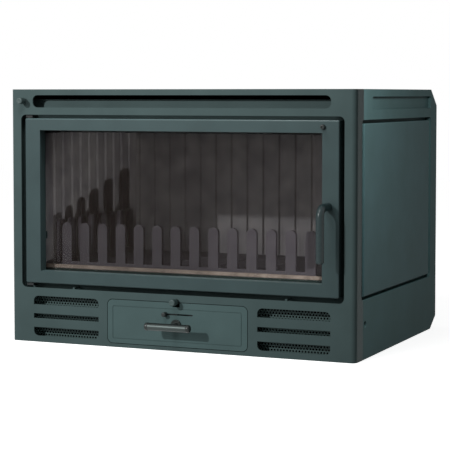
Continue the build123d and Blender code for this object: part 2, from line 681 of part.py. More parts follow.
def firebox_roof():
    """Returns the firebox's roof with the flue hole and the rails that the gate slides in."""
    half = FIREBOX_HALF_WIDTH + FIREBOX_PLATE
    face = span(-half, half, FRONT_PLATE_BACK, FIREBOX_BACK_DEPTH)
    face -= Pos(0, FLUE_DEPTH) * Circle(FLUE_RADIUS)
    roof = level(face, FIREBOX_ROOF_BOTTOM, FIREBOX_PLATE)
    inner = GATE_HALF_WIDTH + GATE_CLEARANCE
    back = FLUE_DEPTH + FLUE_RADIUS + FLUE_WALL + FLUE_FLANGE
    rails = span(inner, inner + GATE_RAIL_WIDTH, GATE_REST_FRONT - GATE_TRAVEL, back)
    rails += mirror(rails, about=Plane.YZ)
    rails += span(-inner, inner, back - GATE_RAIL_WIDTH / 2, back)
    return roof + level(rails, FIREBOX_TOP, GATE_RAIL_HEIGHT)


def flue_socket():
    """Returns the round socket that takes the flue pipe, on its square flange."""
    bottom = FIREBOX_TOP + GATE_RAIL_HEIGHT
    outer = FLUE_RADIUS + FLUE_WALL
    width = 2 * (outer + FLUE_FLANGE)
    socket = level(Pos(0, FLUE_DEPTH) * Rectangle(width, width), bottom, FLUE_FLANGE_THICKNESS)
    socket += post(outer, 0, FLUE_DEPTH, bottom, CASING_HEIGHT)
    return socket - post(FLUE_RADIUS, 0, FLUE_DEPTH, bottom, CASING_HEIGHT)


def damper_gate():
    """Returns the gate that slides under the flue, with the vent that keeps it part open."""
    half = GATE_HALF_WIDTH
    back = FLUE_DEPTH + FLUE_RADIUS + FLUE_WALL
    face = span(-half, half, GATE_REST_FRONT, back)
    face -= Pos(0, FLUE_DEPTH) * Rectangle(GATE_VENT_WIDTH, GATE_VENT_WIDTH)
    return level(face, FIREBOX_TOP + GATE_LIFT, GATE_THICKNESS)


def damper_arm():
    """Returns the flat arm that joins the damper's rod to the middle of its gate."""
    foot = FIREBOX_TOP + GATE_LIFT + GATE_THICKNESS
    low = FIREBOX_TOP + GATE_RAIL_HEIGHT + GATE_LIFT
    half = GATE_HALF_WIDTH
    face = Pos(DAMPER_ROD_X, DAMPER_ROD_Z) * Circle(DAMPER_ARM_HEIGHT / 2)
    face += span(DAMPER_ROD_X, 0, low, low + DAMPER_ARM_HEIGHT)
    face += span(-half + GATE_OVERLAP, 0, foot, low)
    face -= Pos(DAMPER_ROD_X, DAMPER_ROD_Z) * Circle(DAMPER_ROD_RADIUS)
    return upright(face, GATE_REST_FRONT + GATE_CLEARANCE, DAMPER_ARM_THICKNESS)


def damper_rod():
    """Returns the damper's pull rod, from the back of its knob to the arm."""
    near = DAMPER_KNOB_LENGTH - DAMPER_KNOB_PROUD
    far = GATE_REST_FRONT + GATE_CLEARANCE + 2 * DAMPER_ARM_THICKNESS
    return pin(DAMPER_ROD_RADIUS, DAMPER_ROD_X, DAMPER_ROD_Z, near, far)


def round_knob(radius, length, proud, x, z):
    """Returns a round knob that stands proud of the front by the given amount."""
    return pin(radius, x, z, -proud, length - proud)


def fluted(length):
    """Returns a lining's section: its fire side along X at Y = 0, cut by tapered flutes."""
    face = span(0, length, 0, LINING_THICKNESS)
    count = int(length // FLUTE_PITCH)
    start = (length - (count - 1) * FLUTE_PITCH) / 2
    for index in range(count):
        middle = start + index * FLUTE_PITCH
        face -= Polygon(
            (middle - FLUTE_WIDTH / 2, 0),
            (middle + FLUTE_WIDTH / 2, 0),
            (middle + FLUTE_FLOOR / 2, FLUTE_DEPTH),
            (middle - FLUTE_FLOOR / 2, FLUTE_DEPTH),
        )
    return face


def side_lining():
    """Returns the right fluted lining."""
    section = fluted(BACK_LINING_FACE - LINING_FRONT)
    section = Pos(FIREBOX_HALF_WIDTH - LINING_THICKNESS, BACK_LINING_FACE) * Rotation(0, 0, -90) * section
    return level(section, HEARTH_TOP, LINING_TOP - HEARTH_TOP)


def back_lining():
    """Returns the fluted lining of the rear wall."""
    section = Pos(-FIREBOX_HALF_WIDTH, BACK_LINING_FACE) * fluted(2 * FIREBOX_HALF_WIDTH)
    return level(section, HEARTH_TOP, LINING_TOP - HEARTH_TOP)


def smoke_baffle():
    """Returns the baffle that lies on the linings, with its nose turned up at the front."""
    half = FIREBOX_HALF_WIDTH - GRATE_CLEARANCE
    top = LINING_TOP + BAFFLE_THICKNESS
    nose = BAFFLE_FRONT + BAFFLE_THICKNESS
    face = Polygon(
        (BAFFLE_FRONT, LINING_TOP + BAFFLE_NOSE),
        (nose, LINING_TOP),
        (FIREBOX_BACK_FACE, LINING_TOP),
        (FIREBOX_BACK_FACE, top),
        (nose, top),
        (BAFFLE_FRONT, top + BAFFLE_NOSE),
    )
    return sideways(face, -half, 2 * half)


def grate_bars(front, back, half):
    """Returns a grate's face: pairs of slots either side of a spine, at the bar pitch.

    The slots are spread over the shaker grate's length, so both grates share them at rest.
    """
    face = span(-half, half, front, back)
    room = SHAKER_REST_BACK - SHAKER_REST_FRONT - BAR_GAP - 2 * BAR_END
    gaps = int(room // BAR_PITCH)
    first = (SHAKER_REST_FRONT + SHAKER_REST_BACK - gaps * BAR_PITCH) / 2
    for index in range(gaps + 1):
        middle = first + index * BAR_PITCH
        for side in (-1, 1):
            slot_middle = side * (half + BAR_SPINE / 2 - BAR_SPINE) / 2
            face -= Pos(slot_middle, middle) * Rectangle(half - 1.5 * BAR_SPINE, BAR_GAP)
    return face


def hearth_plate():
    """Returns the cast hearth with its grate opening and the rebate that the grate lies in."""
    half = FIREBOX_HALF_WIDTH - GRATE_CLEARANCE
    back = FIREBOX_BACK_FACE - GRATE_CLEARANCE
    plate = level(span(-half, half, HEARTH_FRONT, back), FIREBOX_FLOOR_TOP, HEARTH_TOP - FIREBOX_FLOOR_TOP)
    half_opening = GRATE_OPENING_WIDTH / 2
    opening = span(-half_opening, half_opening, GRATE_OPENING_FRONT, GRATE_OPENING_BACK)
    plate -= level(opening, FIREBOX_FLOOR_TOP, HEARTH_TOP - FIREBOX_FLOOR_TOP)
    rebate = span(
        -half_opening - GRATE_LEDGE,
        half_opening + GRATE_LEDGE,
        GRATE_OPENING_FRONT - GRATE_LEDGE,
        GRATE_OPENING_BACK + GRATE_LEDGE,
    )
    return plate - level(rebate, HEARTH_TOP - GRATE_THICKNESS, GRATE_THICKNESS)


def fixed_grate():
    """Returns the grate that lies in the hearth's rebate."""
    lap = GRATE_LEDGE - GRATE_CLEARANCE
    front = GRATE_OPENING_FRONT - lap
    back = GRATE_OPENING_BACK + lap
    face = grate_bars(front, back, GRATE_OPENING_WIDTH / 2 + lap)
    return level(face, HEARTH_TOP - GRATE_THICKNESS, GRATE_THICKNESS)


def shaker_grate():
    """Returns the sliding grate under the fixed one, with the lug that its rod pulls."""
    face = grate_bars(SHAKER_REST_FRONT, SHAKER_REST_BACK, SHAKER_HALF_WIDTH)
    bottom = FIREBOX_FLOOR_TOP + SHAKER_LIFT
    top = HEARTH_TOP - GRATE_THICKNESS - SHAKER_LIFT
    grate = level(face, bottom, top - bottom)
    low = SHAKER_ROD_Z - SHAKER_ROD_RADIUS - ROD_FREE_CLEARANCE
    lug = span(-SHAKER_LUG_WIDTH / 2, SHAKER_LUG_WIDTH / 2, low, bottom)
    grate += upright(lug, shaker_lug_depth(), SHAKER_LUG_THICKNESS)
    far = shaker_lug_depth() + SHAKER_LUG_THICKNESS
    return grate - pin(SHAKER_ROD_RADIUS, 0, SHAKER_ROD_Z, shaker_lug_depth(), far)


def shaker_lug_depth():
    """Returns the depth of the lug's front, far enough back to stay in the ash hole."""
    return SHAKER_REST_FRONT + SHAKER_TRAVEL


def shaker_rod():
    """Returns the shaker's pull rod, from the back of its knob through the lug."""
    near = SHAKER_KNOB_LENGTH - SHAKER_KNOB_PROUD
    return pin(SHAKER_ROD_RADIUS, 0, SHAKER_ROD_Z, near, shaker_lug_depth() + 2 * SHAKER_LUG_THICKNESS)


def shaker_guide():
    """Returns the hanger under the firebox floor that the shaker's rod slides in."""
    low = SHAKER_ROD_Z - SHAKER_ROD_RADIUS - ROD_FREE_CLEARANCE
    face = span(-SHAKER_LUG_WIDTH, SHAKER_LUG_WIDTH, low, FIREBOX_FLOOR_BOTTOM)
    face -= Pos(0, SHAKER_ROD_Z) * Circle(SHAKER_ROD_RADIUS + ROD_RUNNING_CLEARANCE)
    return upright(face, SHAKER_GUIDE_DEPTH, SHAKER_GUIDE_THICKNESS)


def comb_length(room, pitch):
    """Returns the length of the longest comb that fits in the room."""
    return int((room - GUARD_FINGER_WIDTH) // pitch) * pitch + GUARD_FINGER_WIDTH


def comb(length, pitch, height):
    """Returns a comb's face: a rail along X from 0, with round-topped fingers on it."""
    face = span(0, length, 0, GUARD_RAIL_HEIGHT)
    radius = GUARD_FINGER_WIDTH / 2
    for index in range(int(length // pitch) + 1):
        left = index * pitch
        face += span(left, left + GUARD_FINGER_WIDTH, 0, height - radius)
        face += Pos(left + radius, height - radius) * Circle(radius)
    return face


def log_guard():
    """Returns the front comb, on a foot that lies on the hearth."""
    length = comb_length(2 * (SIDE_GUARD_X - GUARD_CORNER_GAP), GUARD_FINGER_PITCH)
    face = comb(length, GUARD_FINGER_PITCH, GUARD_HEIGHT)
    guard = upright(Pos(-length / 2, HEARTH_TOP) * face, GUARD_DEPTH, GUARD_THICKNESS)
    foot_end = GUARD_DEPTH + GUARD_THICKNESS + GUARD_FOOT
    foot = span(-length / 2, length / 2, GUARD_DEPTH + GUARD_THICKNESS, foot_end)
    return guard + level(foot, HEARTH_TOP, GUARD_THICKNESS)


def side_guard():
    """Returns the right comb, which runs back from the front one."""
    room = BACK_LINING_FACE - SIDE_GUARD_REAR_GAP - SIDE_GUARD_START
    face = comb(comb_length(room, SIDE_GUARD_PITCH), SIDE_GUARD_PITCH, SIDE_GUARD_HEIGHT)
    return sideways(Pos(SIDE_GUARD_START, HEARTH_TOP) * face, SIDE_GUARD_X, GUARD_THICKNESS)


def front_sill():
    """Returns the upright strip that holds the embers back at the firebox mouth."""
    half = MOUTH_HALF_WIDTH - SILL_END_GAP
    face = span(-half, half, FIREBOX_FLOOR_TOP, HEARTH_TOP + SILL_ABOVE_HEARTH)
    return upright(face, HEARTH_FRONT - SILL_THICKNESS, SILL_THICKNESS)


def door_frame():
    """Casts the door's frame: window, rebated web, raised rim, seal groove and bores."""
    outline = span(-DOOR_HALF_WIDTH, DOOR_HALF_WIDTH, DOOR_BOTTOM, DOOR_TOP, DOOR_CORNER)
    frame = upright(outline, -DOOR_PROUD, DOOR_RIM_DEPTH + DOOR_PROUD)
    frame = fillet(frame.faces().sort_by(Axis.Y)[0].edges(), DOOR_EDGE_RADIUS)
    window = span(-WINDOW_HALF_WIDTH, WINDOW_HALF_WIDTH, WINDOW_BOTTOM, WINDOW_TOP)
    frame -= upright(window, -DOOR_PROUD, DOOR_RIM_DEPTH + DOOR_PROUD)
    recess = span(
        -RIM_HALF_WIDTH,
        RIM_HALF_WIDTH,
        DOOR_BOTTOM + DOOR_RIM_WIDTH,
        DOOR_TOP - DOOR_RIM_WIDTH,
    )
    frame -= upright(recess, DOOR_WEB_DEPTH, DOOR_RIM_DEPTH - DOOR_WEB_DEPTH)
    frame -= upright(rope_ring(), DOOR_RIM_DEPTH - ROPE_GROOVE_DEPTH, ROPE_GROOVE_DEPTH)
    bore = HINGE_PIN_RADIUS + ROD_RUNNING_CLEARANCE
    depth = HINGE_PIN_ENGAGEMENT + HINGE_BORE_SPARE
    frame -= post(bore, HINGE_X, HINGE_DEPTH, DOOR_BOTTOM, DOOR_BOTTOM + depth)
    frame -= post(bore, HINGE_X, HINGE_DEPTH, DOOR_TOP - depth, DOOR_TOP)
    shank = HANDLE_SHANK_RADIUS + ROD_RUNNING_CLEARANCE
    return frame - pin(shank, HANDLE_X, HANDLE_Z, -DOOR_PROUD, DOOR_RIM_DEPTH)


def rope_ring():
    """Returns the seal rope's ring, along the middle of the door's rim, with butted corners."""
    middle = DOOR_RIM_WIDTH / 2
    rings = []
    for grow in (ROPE_WIDTH / 2, -ROPE_WIDTH / 2):
        inset = middle - grow
        rings.append(
            span(
                -DOOR_HALF_WIDTH + inset,
                DOOR_HALF_WIDTH - inset,
                DOOR_BOTTOM + inset,
                DOOR_TOP - inset,
            )
        )
    return rings[0] - rings[1]


def door_seal():
    """Returns the seal rope, bevelled where it meets the firebox."""
    start = DOOR_RIM_DEPTH - ROPE_GROOVE_DEPTH
    rope = upright(rope_ring(), start, FIREBOX_SETBACK - ROPE_STAND_OFF - start)
    return chamfer(rope.faces().sort_by(Axis.Y)[-1].edges(), ROPE_BEVEL)


def glass_outline(inset=0.0):
    """Returns the glass's outline, or one a little inside it."""
    lap = GLASS_LAP - inset
    half = WINDOW_HALF_WIDTH + lap
    return span(-half, half, WINDOW_BOTTOM - lap, WINDOW_TOP + lap)


def glass_gasket():
    """Returns the flat tape between the frame and the glass."""
    return upright(glass_outline() - glass_outline(GASKET_WIDTH), DOOR_WEB_DEPTH, GASKET_THICKNESS)


def door_glass():
    """Returns the ceramic glass."""
    return upright(glass_outline(), DOOR_WEB_DEPTH + GASKET_THICKNESS, GLASS_THICKNESS)


def clip_places():
    """Returns where the glass clips sit: X, Z and the turn that points each at the glass."""
    half = WINDOW_HALF_WIDTH + GLASS_LAP + CLIP_GAP
    low = WINDOW_BOTTOM - GLASS_LAP - CLIP_GAP
    high = WINDOW_TOP + GLASS_LAP + CLIP_GAP
    third = 2 * WINDOW_HALF_WIDTH / 3
    places = [(x, low, 0) for x in (-third, 0, third)]
    places += [(x, high, 180) for x in (-third, 0, third)]
    side_z = WINDOW_BOTTOM + (WINDOW_TOP - WINDOW_BOTTOM) / 4
    places += [(side * half, side_z, side * 90) for side in (-1, 1)]
    return places


def glass_clips():
    """Folds the clips that press the glass on its gasket: a foot on the web and a lip."""
    back = DOOR_WEB_DEPTH + GASKET_THICKNESS + GLASS_THICKNESS
    clips = Part()
    for x, z, turn in clip_places():
        place = Pos(x, z) * Rotation(0, 0, turn)
        foot = place * span(-CLIP_LENGTH / 2, CLIP_LENGTH / 2, -CLIP_FOOT, 0)
        lip = place * span(-CLIP_LENGTH / 2, CLIP_LENGTH / 2, -CLIP_FOOT, CLIP_LIP)
        clips += upright(foot, DOOR_WEB_DEPTH, back - DOOR_WEB_DEPTH)
        clips += upright(lip, back, CLIP_SHEET)
    return clips


def clip_screws():
    """Returns the clips' screw heads, one to a clip."""
    back = DOOR_WEB_DEPTH + GASKET_THICKNESS + GLASS_THICKNESS + CLIP_SHEET
    heads = Part()
    for x, z, turn in clip_places():
        place = Pos(x, z) * Rotation(0, 0, turn) * Pos(0, -CLIP_FOOT / 2)
        heads += upright(place * RegularPolygon(CLIP_SCREW_RADIUS, 6), back, CLIP_SCREW_HEAD)
    return heads


def hinge_bracket(is_upper):
    """Returns a hinge ear on the firebox front, with the pin that enters the door."""
    if is_upper:
        near_door = DOOR_TOP + HINGE_FREE_PLAY + HINGE_WASHER_THICKNESS
        low, high = near_door, near_door + HINGE_EAR_THICKNESS
        pin_low, pin_high = DOOR_TOP - HINGE_PIN_ENGAGEMENT, high
    else:
        near_door = DOOR_BOTTOM - HINGE_FREE_PLAY - HINGE_WASHER_THICKNESS
        low, high = near_door - HINGE_EAR_THICKNESS, near_door
        pin_low, pin_high = low, DOOR_BOTTOM + HINGE_PIN_ENGAGEMENT
    ear = span(
        HINGE_X - HINGE_EAR_RADIUS,
        HINGE_X + HINGE_EAR_RADIUS,
        HINGE_DEPTH - HINGE_EAR_RADIUS,
        FIREBOX_SETBACK,
    )
    bracket = level(ear, low, high - low)
    return bracket + post(HINGE_PIN_RADIUS, HINGE_X, HINGE_DEPTH, pin_low, pin_high)


def hinge_washers():
    """Returns the two thrust washers between the hinge ears and the door."""
    ring = Circle(HINGE_EAR_RADIUS) - Circle(HINGE_PIN_RADIUS)
    ring = Pos(HINGE_X, HINGE_DEPTH) * ring
    lower = DOOR_BOTTOM - HINGE_FREE_PLAY - HINGE_WASHER_THICKNESS
    washers = level(ring, lower, HINGE_WASHER_THICKNESS)
    return washers + level(ring, DOOR_TOP + HINGE_FREE_PLAY, HINGE_WASHER_THICKNESS)


def handle_rod():
    """Bends the handle's rod: out of the door, round a bend and down to a bevelled end."""
    face = -DOOR_PROUD - HANDLE_FACE_GAP
    grip = -DOOR_PROUD - HANDLE_REACH
    low = HANDLE_Z - HANDLE_DROP
    points = [
        (HANDLE_X, FRONT_Y + face, HANDLE_Z),
        (HANDLE_X, FRONT_Y + grip, HANDLE_Z),
        (HANDLE_X, FRONT_Y + grip, low),
    ]
    path = FilletPolyline(*points, radius=HANDLE_BEND_RADIUS)
    section = Plane(origin=points[0], z_dir=(0, -1, 0)) * Circle(HANDLE_RADIUS)
    rod = sweep(section, path=path)
    rod = chamfer(rod.faces().sort_by(Axis.Z)[0].edges(), HANDLE_END_BEVEL)
    far = tongue_depth() + TONGUE_THICKNESS
    return rod + pin(HANDLE_SHANK_RADIUS, HANDLE_X, HANDLE_Z, face, far)


def tongue_depth():
    """Returns the depth of the latch tongue's front, just behind the keeper."""
    return FRONT_PLATE_BACK + KEEPER_THICKNESS + TONGUE_GAP


def latch_tongue():
    """Returns the tongue on the handle's shank: upright at rest, behind the keeper when turned."""
    half = TONGUE_WIDTH / 2
    face = span(HANDLE_X - half, HANDLE_X + half, HANDLE_Z - half, HANDLE_Z + TONGUE_REACH)
    face -= Pos(HANDLE_X, HANDLE_Z) * Circle(HANDLE_SHANK_RADIUS)
    return upright(face, tongue_depth(), TONGUE_THICKNESS)


def latch_nut():
    """Returns the cap nut on the shank's end that holds the tongue."""
    face = Pos(HANDLE_X, HANDLE_Z) * RegularPolygon(LATCH_NUT_RADIUS, 6)
    return upright(face, tongue_depth() + TONGUE_THICKNESS, LATCH_NUT_HEIGHT)


def latch_keeper():
    """Returns the hard plate behind the mouth's edge that the tongue turns behind."""
    half = KEEPER_HEIGHT / 2
    face = span(MOUTH_HALF_WIDTH, FIREBOX_HALF_WIDTH, HANDLE_Z - half, HANDLE_Z + half)
    return upright(face, FRONT_PLATE_BACK, KEEPER_THICKNESS)


def drawer_outline(inset_side, inset_bottom, inset_top, radius):
    """Returns the drawer front's outline, or one inside it."""
    half = DRAWER_WIDTH / 2 - inset_side
    return span(-half, half, DRAWER_BOTTOM + inset_bottom, DRAWER_TOP - inset_top, radius)


def drawer_front():
    """Returns the drawer's front with its pressed line, knob notch, air slot and studs."""
    face = drawer_outline(0, 0, 0, DRAWER_CORNER)
    notch = SHAKER_KNOB_RADIUS + KNOB_NOTCH_CLEARANCE
    face -= span(-notch, notch, DRAWER_TOP - KNOB_NOTCH_DEPTH, DRAWER_TOP)
    slot_middle = AIR_SLOT_LEFT + AIR_SLOT_LENGTH / 2
    face -= Pos(slot_middle, AIR_SLOT_Z) * SlotOverall(AIR_SLOT_LENGTH, AIR_SLOT_HEIGHT)
    front = upright(face, 0, CASING_SHEET)
    insets = (EMBOSS_INSET_SIDE, EMBOSS_INSET_BOTTOM, EMBOSS_INSET_TOP)
    line = drawer_outline(*insets, EMBOSS_WIDTH * 2)
    line -= drawer_outline(*(inset + EMBOSS_WIDTH for inset in insets), EMBOSS_WIDTH)
    front -= upright(line, 0, EMBOSS_DEPTH)
    for side in (-1, 1):
        x = side * (TRAY_HALF_WIDTH - TRAY_STUD_INSET)
        for z in (TRAY_BOTTOM + TRAY_STUD_WIDTH, BAR_HANDLE_Z):
            stud = Pos(x, z) * Rectangle(TRAY_STUD_WIDTH, TRAY_STUD_WIDTH)
            front += upright(stud, CASING_SHEET, TRAY_FRONT - CASING_SHEET)
    return front


def port_centres(left):
    """Returns the X places of the air ports, from the left end of a row."""
    return [left + PORT_WIDTH / 2 + index * (AIR_TRAVEL + PORT_WIDTH) for index in range(PORT_COUNT)]


def ports(left):
    """Returns a row of air ports that starts at an X place."""
    return [Pos(x, AIR_SLOT_Z) * Rectangle(PORT_WIDTH, PORT_HEIGHT) for x in port_centres(left)]


def port_row_length():
    """Returns the length of the row of air ports."""
    return PORT_COUNT * PORT_WIDTH + (PORT_COUNT - 1) * AIR_TRAVEL


def port_row_left():
    """Returns where the shutter's ports start at rest, so that their travel is centred."""
    return -(port_row_length() + AIR_TRAVEL) / 2


def ash_tray():
    """Folds the ash tray, with a taller front wall that holds the air ports."""
    half = TRAY_HALF_WIDTH
    height = TRAY_FRONT_TOP - TRAY_WALL_DROP - TRAY_BOTTOM
    tray = level(span(-half, half, TRAY_FRONT, TRAY_BACK), TRAY_BOTTOM, height)
    inner = half - TRAY_SHEET
    inside = span(-inner, inner, TRAY_FRONT + TRAY_SHEET, TRAY_BACK - TRAY_SHEET)
    tray -= level(inside, TRAY_BOTTOM + TRAY_SHEET, height)
    wall = span(-half, half, TRAY_BOTTOM, TRAY_FRONT_TOP)
    tray += upright(wall, TRAY_FRONT, TRAY_SHEET)
    return tray - upright(Sketch() + ports(port_row_left() + AIR_TRAVEL), TRAY_FRONT, TRAY_SHEET)


def air_shutter():
    """Returns the shutter that slides between the drawer's front and its tray."""
    left = port_row_left()
    face = span(
        left - SHUTTER_MARGIN,
        left + port_row_length() + SHUTTER_MARGIN,
        AIR_SLOT_Z - SHUTTER_HEIGHT / 2,
        AIR_SLOT_Z + SHUTTER_HEIGHT / 2,
    )
    face -= ports(left)
    return upright(face, shutter_depth(), SHUTTER_THICKNESS)


def shutter_depth():
    """Returns the depth of the shutter's front, a gap behind the drawer's front."""
    return CASING_SHEET + SHUTTER_GAP


def air_knob_x():
    """Returns the air knob's place at the left end of its slot."""
    return AIR_SLOT_LEFT + AIR_SLOT_HEIGHT / 2 + AIR_NECK_RADIUS


def air_knob():
    """Returns the air slider's knob, on a neck that passes through the slot."""
    knob = round_knob(AIR_KNOB_RADIUS, AIR_KNOB_PROUD - SHUTTER_GAP, AIR_KNOB_PROUD, air_knob_x(), AIR_SLOT_Z)
    return knob + pin(AIR_NECK_RADIUS, air_knob_x(), AIR_SLOT_Z, -SHUTTER_GAP, shutter_depth())


def bar_handle():
    """Returns the bright bar of the drawer's handle, between its end caps."""
    half = BAR_HANDLE_LENGTH / 2 - BAR_CAP_LENGTH
    place = Plane(origin=(-half, FRONT_Y - BAR_HANDLE_PROUD, BAR_HANDLE_Z), z_dir=(1, 0, 0))
    return extrude(place * Circle(BAR_HANDLE_RADIUS), amount=2 * half)


def bar_caps():
    """Returns the two end caps of the bar."""
    half = BAR_HANDLE_LENGTH / 2
    radius = BAR_HANDLE_RADIUS + BAR_CAP_EXTRA
    place = Plane(
        origin=(half - BAR_CAP_LENGTH, FRONT_Y - BAR_HANDLE_PROUD, BAR_HANDLE_Z), z_dir=(1, 0, 0)
    )
    cap = extrude(place * Circle(radius), amount=BAR_CAP_LENGTH)
    return cap + left_copy(cap)


def bar_post():
    """Returns the post of the drawer's handle, shaped to the bar, on its round rose."""
    post_bar = pin(BAR_POST_RADIUS, 0, BAR_HANDLE_Z, -BAR_HANDLE_PROUD, 0)
    post_bar += pin(BAR_ROSE_RADIUS, 0, BAR_HANDLE_Z, -BAR_ROSE_THICKNESS, 0)
    return post_bar - bar_handle()


def ash_bay():
    """Folds the bay that the drawer slides in: two walls with runners, and a back."""
    top = FIREBOX_FLOOR_BOTTOM
    outer = BAY_INNER_X + BAY_SHEET
    walls = span(-outer, outer, CASING_SHEET, BAY_BACK_FACE + BAY_SHEET)
    walls -= span(-BAY_INNER_X, BAY_INNER_X, CASING_SHEET, BAY_BACK_FACE)
    bay = level(walls, CASING_SHEET, top - CASING_SHEET)
    front = span(-outer, outer, CASING_SHEET, FRONT_PLATE_BACK)
    bay -= level(front, FRONT_PLATE_BOTTOM, top - FRONT_PLATE_BOTTOM)
    runner = span(BAY_INNER_X - RUNNER_WIDTH, BAY_INNER_X, CASING_SHEET, BAY_BACK_FACE)
    runner = level(runner, CASING_SHEET, RUNNER_TOP - CASING_SHEET)
    return bay + runner + left_copy(runner)


def build_nodes():
    """Builds every piece and returns them by name."""
    nodes = {
        "front_surround": front_surround(),
        "side_casing_right": side_casing(),
        "side_backing_right": side_backing(),
        "side_panel_right": side_panel(),
        "perforated_screen_right": perforated_screen(),
        "firebox_side_right": firebox_side(),
        "side_lining_right": side_lining(),
        "side_guard_right": side_guard(),
    }
    for name in [name for name in nodes if name.endswith("_right")]:
        nodes[name.replace("_right", "_left")] = left_copy(nodes[name])
    damper_knob = (DAMPER_KNOB_RADIUS, DAMPER_KNOB_LENGTH, DAMPER_KNOB_PROUD)
    shaker_knob = (SHAKER_KNOB_RADIUS, SHAKER_KNOB_LENGTH, SHAKER_KNOB_PROUD)
    nodes.update(
        {
            "top_plate": top_plate(),
            "outlet_cover_left": outlet_cover(-1),
            "outlet_cover_right": outlet_cover(1),
            "rear_panel": rear_panel(),
            "base_plate": base_plate(),
            "firebox_front_plate": firebox_front_plate(),
            "firebox_back": firebox_back(),
            "firebox_floor": firebox_floor(),
            "firebox_roof": firebox_roof(),
            "flue_socket": flue_socket(),
            "back_lining": back_lining(),
            "smoke_baffle": smoke_baffle(),
            "hearth_plate": hearth_plate(),
            "front_sill": front_sill(),
            "fixed_grate": fixed_grate(),
            "log_guard": log_guard(),
            "ash_bay": ash_bay(),
            "shaker_guide": shaker_guide(),
            "latch_keeper": latch_keeper(),
            "hinge_bracket_lower": hinge_bracket(False),
            "hinge_bracket_upper": hinge_bracket(True),
            "hinge_washers": hinge_washers(),
            "door_frame": door_frame(),
            "door_seal": door_seal(),
            "glass_gasket": glass_gasket(),
            "door_glass": door_glass(),
            "glass_clips": glass_clips(),
            "clip_screws": clip_screws(),
            "handle_rod": handle_rod(),
            "latch_tongue": latch_tongue(),
            "latch_nut": latch_nut(),
            "drawer_front": drawer_front(),
            "ash_tray": ash_tray(),
            "bar_handle": bar_handle(),
            "bar_caps": bar_caps(),
            "bar_post": bar_post(),
            "air_knob": air_knob(),
            "air_shutter": air_shutter(),
            "damper_knob": round_knob(*damper_knob, DAMPER_ROD_X, DAMPER_ROD_Z),
            "damper_rod": damper_rod(),
            "damper_arm": damper_arm(),
            "damper_gate": damper_gate(),
            "shaker_knob": round_knob(*shaker_knob, 0, SHAKER_ROD_Z),
            "shaker_rod": shaker_rod(),
            "shaker_grate": shaker_grate(),
        }
    )
    return nodes


os.makedirs("parts", exist_ok=True)
for node_name, piece in build_nodes().items():
    export_step(piece, f"parts/{node_name}.step")
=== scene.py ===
"""Looks of the fireplace insert: its finishes, its punched screens, its turned fittings and the studio."""

import logging
import math
from contextlib import contextmanager
from dataclasses import dataclass
from enum import Enum
from typing import Any, Callable, Iterator, Optional

import bmesh
import bpy
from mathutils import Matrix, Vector


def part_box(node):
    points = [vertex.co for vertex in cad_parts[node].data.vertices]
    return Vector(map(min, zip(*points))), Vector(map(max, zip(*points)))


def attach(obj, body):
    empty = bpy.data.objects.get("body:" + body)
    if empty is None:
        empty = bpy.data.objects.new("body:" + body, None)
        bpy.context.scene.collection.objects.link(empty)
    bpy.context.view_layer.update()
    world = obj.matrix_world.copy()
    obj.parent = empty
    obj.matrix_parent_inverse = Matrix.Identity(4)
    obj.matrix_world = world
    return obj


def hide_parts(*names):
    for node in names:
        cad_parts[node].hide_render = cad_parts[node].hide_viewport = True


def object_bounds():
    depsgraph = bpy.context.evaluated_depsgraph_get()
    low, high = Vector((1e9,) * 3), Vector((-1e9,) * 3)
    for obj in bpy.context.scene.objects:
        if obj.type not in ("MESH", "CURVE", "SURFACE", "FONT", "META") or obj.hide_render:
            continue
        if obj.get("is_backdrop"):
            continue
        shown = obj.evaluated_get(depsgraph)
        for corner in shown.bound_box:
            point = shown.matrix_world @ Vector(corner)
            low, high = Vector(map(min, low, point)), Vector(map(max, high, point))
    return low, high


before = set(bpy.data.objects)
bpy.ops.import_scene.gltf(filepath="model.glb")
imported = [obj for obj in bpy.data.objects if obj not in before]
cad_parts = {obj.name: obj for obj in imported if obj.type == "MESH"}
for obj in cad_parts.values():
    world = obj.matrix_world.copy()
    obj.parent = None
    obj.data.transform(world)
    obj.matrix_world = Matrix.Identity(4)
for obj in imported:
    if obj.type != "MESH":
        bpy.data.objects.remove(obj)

MM = 0.001
# Points closer than MERGE are one point, and a point this near to a plane lies on it.
MERGE = 0.01 * MM
TOUCH = 0.05 * MM
# Edges of the turned pieces that bend less than this are shaded smooth.
SMOOTH_DEGREES = 35.0
UPRIGHT = (math.pi / 2, 0, 0)
log = logging.getLogger("fireplace_insert")


def linear_colour(code: str) -> tuple[float, float, float, float]:
    """Turns an sRGB hex code into the linear colour that a shader takes.

    Args:
        code: six hex digits after a hash sign.

    Returns:
        Red, green, blue and an alpha of 1.
    """
    channels = [int(code[place : place + 2], 16) / 255 for place in (1, 3, 5)]
    red, green, blue = (c / 12.92 if c <= 0.04045 else ((c + 0.055) / 1.055) ** 2.4 for c in channels)
    return (red, green, blue, 1.0)


